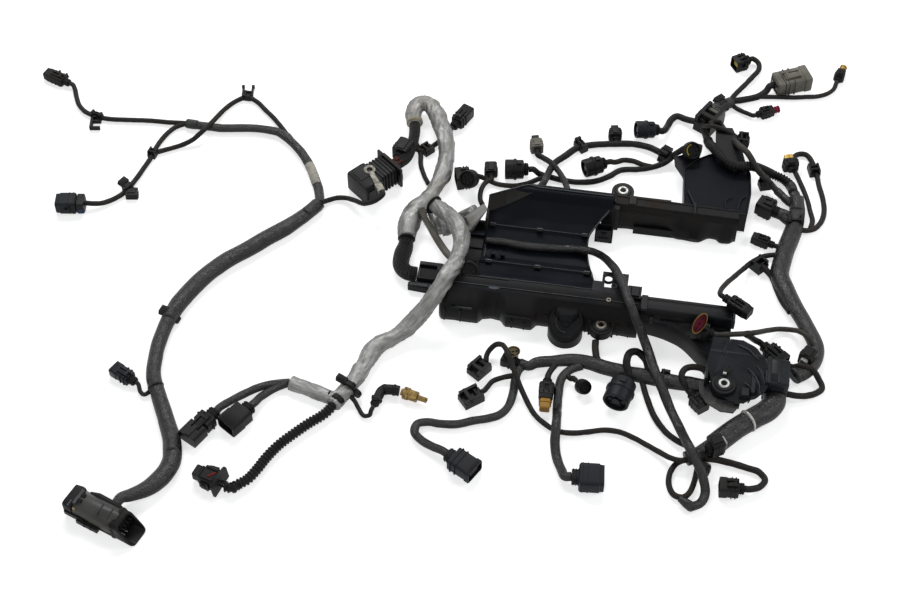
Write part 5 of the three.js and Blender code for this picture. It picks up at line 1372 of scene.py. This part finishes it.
sheetPiece("panel_sheet", "rear_panel", np.arange(80.6, 180.4, 1.6), lambda y: rounded1d(y, *panelLeft, reach=3),
           lambda y: rounded1d(y, *panelRight, reach=3), panelHeight, 1.6, "basin", 40)
rim = [(86, 81, 0), (84, 110, 0), (82, 147, 0), (95, 165, 0), (112, 178, 0), (128, 180, 0), (148, 171, 0),
       (159, 152, 0), (161, 116, 0), (158, 81, 0)]
rimLine = np.array(rim, float)
rimLine[:, 2] = panelHeight(rimLine[:, 0], rimLine[:, 1]) + 0.9
edgeLine("panel_rim", "rear_panel", rimLine, 1.0, "housing")
edgeLine("panel_rib", "rear_panel", [(88, 108, 29.5), (93, 96, 30.5), (98, 83, 31.4)], 1.5, "housing")
arcTurns = np.linspace(-2.6, 0.2, 14)
arcLine = np.column_stack([140 + 8 * np.sin(arcTurns), 95 + 11 * np.cos(arcTurns), np.full(14, 30.2)])
edgeLine("panel_arc_left", "rear_panel", arcLine, 0.7, "housing")
edgeLine("panel_arc_right", "rear_panel", [(147, 84, 31), (148, 96, 30.4), (151, 106, 29.4), (156, 111, 28.6)], 0.9,
         "housing")
panelWalls = Builder()
panelWalls.block(86, 158, 80.6, 82.4, 0, 30, "housing")
for (x0, y0, _), (x1, y1, _) in zip(rim[:-1], rim[1:]):
    z0, z1 = float(panelHeight(x0, y0)), float(panelHeight(x1, y1))
    panelWalls.loft([[(x0, y0, 0), (x0, y0, z0), (x0 + 0.6, y0 - 1.6, z0), (x0 + 0.6, y0 - 1.6, 0)],
                     [(x1, y1, 0), (x1, y1, z1), (x1 + 0.6, y1 - 1.6, z1), (x1 + 0.6, y1 - 1.6, 0)]], "housing")
panelWalls.housed("panel_walls", "rear_panel")


# End bracket: a sloping plate with a lug, a raised slot, a low flag plate, torn edges traced by lighter beads
# painted as highlights, and the end box
def bracketHeight(x, y):
    plane = 47.6 + 0.32 * (y + 100)
    lugDrop = 0.8 * (1 - smoothStep(np.hypot(x - 147, y + 162), 12.6, 15.5))
    fold = 1.6 * smoothStep(x, 168, 186) * np.sin(x / 2.3 + y / 3.1) * smoothStep(-y, 135, 150)
    groove = -1.4 * np.exp(-((x - 139 - 0.25 * (y + 150)) / 1.3) ** 2) + 1.2 * np.exp(-((y + 128) / 1.2) ** 2)
    return plane - lugDrop + fold + groove


sheetPiece("bracket_sheet", "end_bracket", np.arange(-179.5, -111.9, 0.9),
           lambda y: rounded1d(y, [-180, -170, -143, -112], [158, 137, 126.5, 130.5], 4),
           lambda y: rounded1d(y, [-180, -168, -153, -133, -116, -112], [168, 189, 196.5, 191.5, 176, 160], 3),
           bracketHeight, 2.4, "bracket", 60)
bracketBits = Builder()
ringWall(bracketBits, 147, -162, 13.2, 9.4, 0, 29, "housing")
angle = circle(32)
for outer, z0, z1, look in ((1.0, 30, 34.2, "bracket"), (0.72, 33.6, 34.4, "socket")):
    bracketBits.loft([np.column_stack([150 + outer * (3.4 * np.cos(angle) + 4.5 * np.sin(angle)),
                                       -145.5 + outer * (-1.0 * np.cos(angle) + 6.5 * np.sin(angle)),
                                       np.full(32, z)]) for z in (z0, z1)], look)
bracketBits.block(144.5, 148.5, -152.5, -150.4, 31, 34.6, "steel")
flag = [(120, -153), (122, -168), (130, -181), (146, -190), (160, -190), (166, -180), (160, -172), (131, -152)]
bracketBits.slab(flag, 15, 17, "speckled")
bracketBits.blocks("bracket", (126, 129, -160, -142, 15, 33), (160, 166, -181, -176, 12, 22))
bracketBits.prism([(164, 24), (176, 24), (174, 32), (166, 32)], -176, -166, "bracket")
bracketBits.block(176, 180, -172, -150, 26, 33.5, "bracket")
bracketBits.housed("bracket_bits", "end_bracket", 0.6)
# beads along the torn edges in the lighter edge look: painted highlight lines
for number, line in enumerate((((170, -142, 35), (178, -149, 35), (184, -158, 32), (186, -169, 26)),
                               ((180, -138, 37), (187, -148, 34), (191, -158, 30)),
                               ((168, -158, 31), (176, -163, 30), (178, -172, 25), (174, -178, 20)),
                               ((158, -118, 43), (170, -122, 42), (182, -132, 38)))):
    edgeLine("bracket_edge_%d" % number, "end_bracket", line, 0.8, "edge")
endBox = Builder()
endBox.rounded([(190, 34.4, 33, 17.4), (192, 35, 35, 17.5), (214, 35, 35, 17.5), (216, 33.6, 33.4, 17.5)],
               "bracket", corner=0.16)
endBox.blocks("bracket", (192, 196, -17.7, 17.7, 33, 36.2), (203, 206, -16, 16, 34, 35.8))
endBox.block(196, 203, -14, -4, 34.4, 35.4, "socket")
endBox.block(198, 212, -19, -17, 12, 26, "bracket")
endBox.finish("bracket_end_box", "end_bracket", (0, -140.5), 0, 0, "housing", 0.8)

# Bushes: a dark collar around a narrow metal ring
for name, x, y, top, look in (("front_bush", 8, -97, 20, "tarnished"), ("rear_bush", 13, 97, 28, "steel"),
                              ("bracket_bush", 147, -162, 29, "steel")):
    bush = Builder()
    ringWall(bush, x, y, 9.8, 5.8, top - 8, top + 1.2, "housing")
    ringWall(bush, x, y, 6.2, 3.4, top - 8, top + 1.8, look)
    bush.housed(name + "_ring", name, slot="steel")
print("housing", len(pieces))

# CAD pieces that keep their shape
for node, look in (("ring_eyelet", "nickel"), ("brass_sensor", "brass")):
    frame["nodes"][node].data.materials.clear()
    frame["nodes"][node].data.materials.append(looks[look])


# Big plug: a half-round cover over a dark body, a lever at its left end and a slanted open mouth at the right
def bigPlug():
    builder = Builder()
    angle = np.linspace(-0.25, 1.25, 21) * np.pi
    arch = np.column_stack([13.6 * np.cos(angle), 12.5 + 13.2 * np.sin(angle)])
    arch = np.vstack([arch, [-12.5, 2], [12.5, 2]])
    arch[:, 1] = np.clip(arch[:, 1], 1.2, 26)
    builder.loft([[(x, k * y, z * k) for y, z in arch[::-1]] for x, k in ((8, 0.96), (10, 1), (58, 1), (60, 0.97))],
                 "cover")
    builder.band(56, 62, 26.4, 24, 12.6, "plug")
    angle = circle(36)

    def mouthRing(width, height, xTop, xLow):
        y = width / 2 * np.sign(np.cos(angle)) * np.abs(np.cos(angle)) ** 0.35
        z = height / 2 * np.sign(np.sin(angle)) * np.abs(np.sin(angle)) ** 0.35
        x = xLow + (xTop - xLow) * (z / height + 0.5)
        return np.column_stack([x, y, 12.4 + z])

    builder.loft([mouthRing(26, 24, 60, 60), mouthRing(26.6, 24.4, 64, 82), mouthRing(25.4, 23.2, 65, 83.6),
                  mouthRing(22, 20, 65, 83.6), mouthRing(21, 19, 62, 66)], "plug", True, False)
    builder.loft([mouthRing(21.2, 19.2, 62.4, 66.2), mouthRing(2, 2, 64, 64.5)], "socket")
    for x in (2, 3.4):
        builder.band(56 + x, 56.7 + x, 27.4, 25, 12.6, "plug")
    for row in (-0.3, 0, 0.3):
        for column in (-0.32, -0.1, 0.12, 0.34):
            y, z = column * 20, 12.4 + row * 18
            builder.block(64, 70, y - 0.5, y + 0.5, z - 0.5, z + 0.5,
                          "steel" if row < 0 and column < 0 else "socket")
    builder.rounded([(-3, 22, 14, 13), (-2, 27, 20, 13), (6, 29, 22, 13), (9, 28, 21, 13)], "plug", corner=0.3)
    for side in (-1, 1):
        builder.block(0, 24, side * 14.6 - 1, side * 14.6 + 1, 6, 12, "plug")
    for y in (3.4, -3.4):
        builder.block(12, 16.6, y - 2.1, y + 2.1, 25.2, 26.6, "socket")
    # the two lighter bars on the lever use the edge look: painted highlights
    builder.block(9, 12.5, -9, 9, 23.5, 26.6, "edge")
    builder.block(10, 13, -12.4, -9.6, 17, 20.5, "tan")
    builder.block(5, 7, -13, -6, 19, 25, "edge")
    builder.blocks("plug", (16, 42, -17.6, -13, 3, 9), (24, 27, -18.2, -14, 4, 10), (33, 35, -18.2, -14, 4, 10))
    # thin lighter strips across the cover: painted highlights
    for x in (38, 50):
        builder.block(x, x + 1.2, -10, 6, 25.6, 26.4, "edge", 0.3)
    builder.rounded([(14, 4, 12, 12), (24, 9, 16, 13), (48, 9, 15, 12), (58, 5, 10, 10)], "plug", corner=0.8)
    builder.vertices[-1][:, 1] += 13.5
    bigPlugSpot, bigPlugYaw = (-509, -402), -20
    builder.finish("big_plug_shell", "big_plug", bigPlugSpot, bigPlugYaw, 0, "plug", 0.5)


bigPlug()


# Strip plug: nose, winged body and a leaning flange, with a red strip on top and bare leads behind
def stripPlug():
    builder = Builder()
    builder.rounded([(25, 13, 12, 9), (35.4, 13, 12, 9), (36, 12, 11, 9)], "plug", corner=0.2)
    builder.blocks("plug", (29, 35, -6, 6, 15, 16.2), (27, 29, -7.2, 7.2, 3, 15.8))
    builder.rounded([(8, 18, 16, 9), (9, 19, 17, 9), (25, 19, 17, 9), (26, 17, 15, 9)], "plug", corner=0.16)
    for side in (-1, 1):
        builder.block(13, 24, min(side * 9, side * 13), max(side * 9, side * 13), 4, 14, "plug", 1.0)
        builder.block(16, 21, min(side * 12, side * 13.4), max(side * 12, side * 13.4), 6, 12, "plug")
    flange = ((-14.5, 1), (14.5, 1), (14.5, 17), (11, 19), (-11, 19), (-14.5, 17))
    builder.loft([[(x + 0.12 * z, y, z) for y, z in flange] for x in (3.5, 6.6)], "plug")
    builder.loft([[(x + 11, y, 17.2), (x + 13.4, y + 1.2, 17.2), (x + 13.4, y + 1.2, 18.3), (x + 11, y, 18.3)]
                  for x, y in ((0, -4.5), (5.5, 3.5))], "red")
    builder.blocks("plug", (11, 24, -7.5, -5.5, 17, 19), (11, 24, 5.5, 7.5, 17, 19))
    for y, z, look in ((-3, 7, "socket"), (0, 10, "plug"), (3, 8, "socket"), (1, 5, "plug")):
        builder.round([(-2, 1.2), (5, 1.0)], look, y=y, z=z, sides=10)
    # the plug stands slightly turned and aside on its conduit
    (x, y, _), yaw = seatOf("conduit")
    sideStep, turn = 2.5, -14
    builder.finish("strip_plug", "strip_plug", (x, y + sideStep), yaw + turn, 0)


stripPlug()

# Elbow connector: two rounded legs with collars and a latch
elbowPath = [(-223.7, -235.6, 7), (-221, -224, 7), (-218.4, -212.4, 7.2), (-209, -210.6, 7.2), (-198.4, -211.2, 7)]
elbowLine, elbowEven = softLine(elbowPath, 3.5, 60)
elbowKnots = ([0, 2, 2.5, 8, 8.5, 10.5, 11, 24, 27, 30, 36, 36.5, 38.5, 39, 44],
              [3.4, 3.4, 5.0, 5.0, 6.2, 6.2, 5.2, 5.4, 6.4, 5.8, 5.8, 6.6, 6.6, 5.9, 5.9])
elbow = tube("elbow_body", elbowLine, elbowEven, np.interp(elbowEven, *elbowKnots), looks["plug"], 20,
             tapeRelief(5.5, 77))
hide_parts("elbow_connector")
elbowLatch = Builder()
elbowLatch.blocks("plug", (6, 20, -3, 3, 11.6, 13.4), (8, 11, -5, 5, 10.5, 14.2))
elbowLatch.finish("elbow_latch", "elbow_connector", (-223.9, -236.7), 77, 0)

# Box connector: ribbed body behind a wide flange, with dark red wires at the flange
boxBody = Builder()
boxBody.rounded([(13, 30, 24, 14.5), (36, 31, 25, 14.5), (37, 37, 28, 15), (40, 38, 29, 15), (60, 38, 29, 15),
                 (62.3, 36, 27, 15)], "plug", corner=0.14)
for x in np.arange(15, 35, 4.6):
    boxBody.band(x, x + 2.0, 34, 27, 14.5, "plug", corner=0.2)
boxBody.blocks("plug", (50, 60, 18.6, 20.4, 6, 24), (10, 13, -22, 22, 0.2, 30), (7, 10.4, -16, 16, 4, 27))
for y in (-19, 19):
    boxBody.block(8.6, 14.5, y - 2, y + 2, 10, 20, "plug")
for y, z in ((-5, 20), (-1, 22), (4, 21), (1, 17)):
    boxBody.round([(-4, 1.2), (9, 1.2)], "redWire", y=y, z=z, sides=10)
boxBody.block(42, 58, -12, 4, 29, 30.2, "plug")
boxBody.finish("box_body", "box_connector", (-258.3, 109.7), 230, 0, "plug", 0.5)

# Wraps, ties and the plain paper band
tapeWrap("label_band", "trunkUpper", 32, 66, 0.5, "label")
for number, start in enumerate((37, 43, 48, 57)):
    tapeWrap("label_line_%d" % number, "trunkUpper", start, start + 2.6, 0.65, "dusty")
tapeWrap("frayed_tape", "sleeveUpper", 0.2, 5, 0.1, "beige")
tapeWrap("tie_sleeve", "sleeveLong", 0.5, 2.5, 1.2, "socket")
tapeWrap("tie_hose", "braidedHose", 1, 4, 1.0, "socket")
tapeWrap("tie_branch", "sleeveBranch", 14, 17, 0.6, "socket")
tapeWrap("tail_tape", "sleeveTail", 22, 30, 0.8, "plug")

# Free cords: which end leaves the object, what the far end carries and the pieces that go with it
freeCords = {
    "trunkLeft": ("start", "plug", "big_plug_shell trunk_clip_rear trunk_tie_front wrap_left_split"),
    "trunkUpper": ("start", "fitting", "wrap_upper_end"),
    "leadP1": ("start", "plug", "flat_plug plate_clip_left"),
    "leadC3": ("start", "plug", "tall_plug rail_clip_left tree_clip_left seal_plug_left"),
    "leadFork": ("start", "fitting", "wrap_fork_end fork_clip_left"),
    "leadRing": ("start", "fitting", "ring_eyelet"),
    "leadOpen": ("start", "plug", "open_plug"),
    "sleeveUpper": ("start", "fitting", "wrap_sleeve_end"),
    "sleeveLong": ("start", "fitting", "sleeve_band"),
    "ribbedHose": ("start", "connector", "hex_connector"),
    "leadTwinSocket": ("start", "plug", "twin_plug"),
    "leadBoxSocket": ("start", "plug", "box_plug"),
    "conduit": ("start", "plug", "strip_plug"),
    "trayCable": ("start", "fitting", "tray_tail"),
    "leadLower": ("start", "plug", "lower_plug"),
    "frontCable": ("start", "fitting", "bundle_plug_lower"),
    "trunkFront": ("end", "connector", "beige_plug front_clip"),
    "leadWide": ("start", "plug", "wide_plug"),
    "leadFrontPlug": ("start", "plug", "front_plug"),
    "leadDrum": ("start", "plug", "front_drum"),
    "cableSecond": ("start", "fitting", "bundle_plug_upper"),
    "leadBracketPlug": ("start", "plug", "bracket_plug"),
    "rearA": ("start", "fitting", "ring_connector cable_clip_rear"),
    "rearB": ("end", "connector", "small_plug_middle"),
    "rearC": ("end", "plug", "rear_drum_left"),
    "rearD": ("end", "plug", "rear_drum_middle"),
    "rearF": ("end", "plug", "pin_connector"),
    "rearE": ("end", "plug", "rear_drum_top"),
    "leadRingPlug": ("start", "plug", "yellow_ring_plug"),
    "leadGrey": ("start", "plug", "grey_connector"),
    "leadTopSensor": ("start", "plug", "gold_tip_plug"),
    "crossCord": ("start", "fitting", "wrap_cross_end cross_tail"),
    "corrugatedTube": ("start", "fitting", "wrap_tube_end tube_clip"),
    "trunkRight": ("end", "fitting", "wrap_trunk_top trunk_clip_panel"),
    "arcLead": ("start", "plug", "arc_plug"),
    "greyLead": ("end", "connector", "oval_connector"),
    "leadBoxSide": ("start", "fitting", "trunk_plug"),
    "outerLoop": ("start", "fitting", "loop_clip"),
    "innerCord": ("start", "fitting", "cross_bracket"),
    "bundleLoop": ("start", "fitting", "bundle_plug_lower"),
}
for name, (leaves, farEnd, carried) in freeCords.items():
    path, along = centreline(name, 2.0)
    if leaves == "end":
        path = path[::-1]
    carriedPieces = [pieces.get(word) or frame["nodes"][word] for word in carried.split()]
print("free cords", len(freeCords))

# Prongs, hook and block of three left clips
clipParts = {
    "fork_prongs": ((-465, 204), ((-7, -4.4, 0, 15, 2, 6), (4.4, 7, 0, 15, 2, 6), (-7, 7, -3, 1, 2, 7),
                                  (-8, -4.4, 12, 15.5, 1.5, 6.5), (4.4, 8, 12, 15.5, 1.5, 6.5),
                                  (-3, 3, 1, 3, 2, 5))),
    "plate_hook": ((-640, 139), ((-7, -3.6, -21, -3, 1, 7), (-7, 6, -21, -18, 1, 6), (-4, 6, -10, -7, 1, 6),
                                 (-4, 4, -5, 1, 1, 9))),
    "tree_block": ((-566, 25), ((-5, 9, -9, 3, 0, 9), (-3, 7, -6, 0, 8, 10), (6, 10, -8, -2, 1, 7))),
}
for name, (spot, blocks) in clipParts.items():
    part = Builder()
    part.blocks("plug", *blocks)
    part.finish(name, "left_loom", spot, 9, 0, bevel=0.4)

# Closing end of the foil at the tray corner, plates beside the rear panel and lighter beads painted as highlights
# along edges of the rear duct
cone = Builder()
coneAngle = circle(24)
coneRings = []
for share in np.linspace(0, 1, 7):
    centre = np.array([-160, 20, 24]) * (1 - share) + np.array([-141, 34, 44]) * share
    wide, tall = 11 * (1 - 0.55 * share), 9 * (1 - 0.8 * share)
    coneRings.append(centre + np.column_stack([-0.6 * wide * np.cos(coneAngle), 0.8 * wide * np.cos(coneAngle),
                                               tall * np.sin(coneAngle) * (1 + 0.12 * np.cos(5 * coneAngle))]))
cone.loft(coneRings, "foil")
cone.housed("sleeve_cone", "long_sleeve", slot="sleeve")
wings = Builder()
wings.slab([(114, 218), (134, 220), (147, 188), (154, 160), (141, 148), (117, 164)], 24, 27, "housing")
wings.slab([(68, 165), (94, 180), (99, 107), (87, 115), (80, 136), (70, 152)], 20, 23, "housing")
wings.housed("panel_wings", "rear_panel", 0.6)
# beads in the lighter edge look on the rear duct's front: painted highlight lines
for number, line in enumerate((((84, 66, 12), (80, 66.4, 17), (85, 66.4, 23), (95, 66.4, 25)),
                               ((125, 66, 14), (131, 66.4, 22), (140, 66.4, 27), (149, 66.4, 28)))):
    edgeLine("rear_duct_edge_%d" % number, "rear_duct", line, 0.7, "edge")
print("small parts", len(pieces))


# Floor, sky and lights
def seenRay(graph):
    # 1 where a ray is seen, mirrored or passed through, 0 where it only lights the object
    path = graph.node("LightPath").outputs
    seen = graph.math("MAXIMUM", path["Is Camera Ray"], path["Is Glossy Ray"])
    return graph.math("MAXIMUM", seen, path["Is Transmission Ray"])


floorMesh = bpy.data.meshes.new("floor")
floorMesh.from_pydata([(-8, -6, 0), (8, -6, 0), (8, 10, 0), (-8, 10, 0)], [], [(0, 1, 2, 3)])
floor = bpy.data.objects.new("floor", floorMesh)
bpy.context.collection.objects.link(floor)
floorLook, floorGraph, floorBody = shader("floor", roughness=0.9, specular=0.0)
floorColour = (0.9, 0.9, 0.9, 1)
floorBody.inputs["Base Color"].default_value = floorColour
floorMesh.materials.append(floorLook)

# the floor is brightened towards white where it is seen, so only the shadows stay grey
floorGlow = 0.62
glow = floorGraph.math("MULTIPLY", seenRay(floorGraph), floorGlow)
floorGraph.join(glow, floorBody.inputs["Emission Strength"])
floorBody.inputs["Emission Color"].default_value = (1, 1, 1, 1)

world = bpy.data.worlds.new("world")
bpy.context.scene.world = world
world.use_nodes = True
sky = Graph(world.node_tree)
lightingGrey, seenWhite = (0.16, 0.165, 0.175), (1, 1, 1)
sky.join(sky.mix(seenRay(sky), lightingGrey, seenWhite), sky.nodes["Background"].inputs["Color"])


def softLight(name, spot, aim, size, power):
    data = bpy.data.lights.new(name, "AREA")
    data.shape = "RECTANGLE"
    data.size, data.size_y = size
    data.energy = power
    lamp = bpy.data.objects.new(name, data)
    lamp.location = spot
    lamp.rotation_euler = (Vector(aim) - Vector(spot)).to_track_quat("-Z", "Y").to_euler()
    bpy.context.collection.objects.link(lamp)


softLight("overhead", (-0.6, 1.3, 1.7), (-0.2, 0.0, 0), (1.5, 0.5), 24)
softLight("side", (1.5, 0.3, 1.3), (-0.1, 0, 0), (0.8, 0.8), 9)
softLight("front", (-0.7, -1.7, 1.5), (-0.2, 0, 0), (1.2, 0.8), 7)
bpy.context.scene.view_settings.view_transform = "Standard"
print("stage")
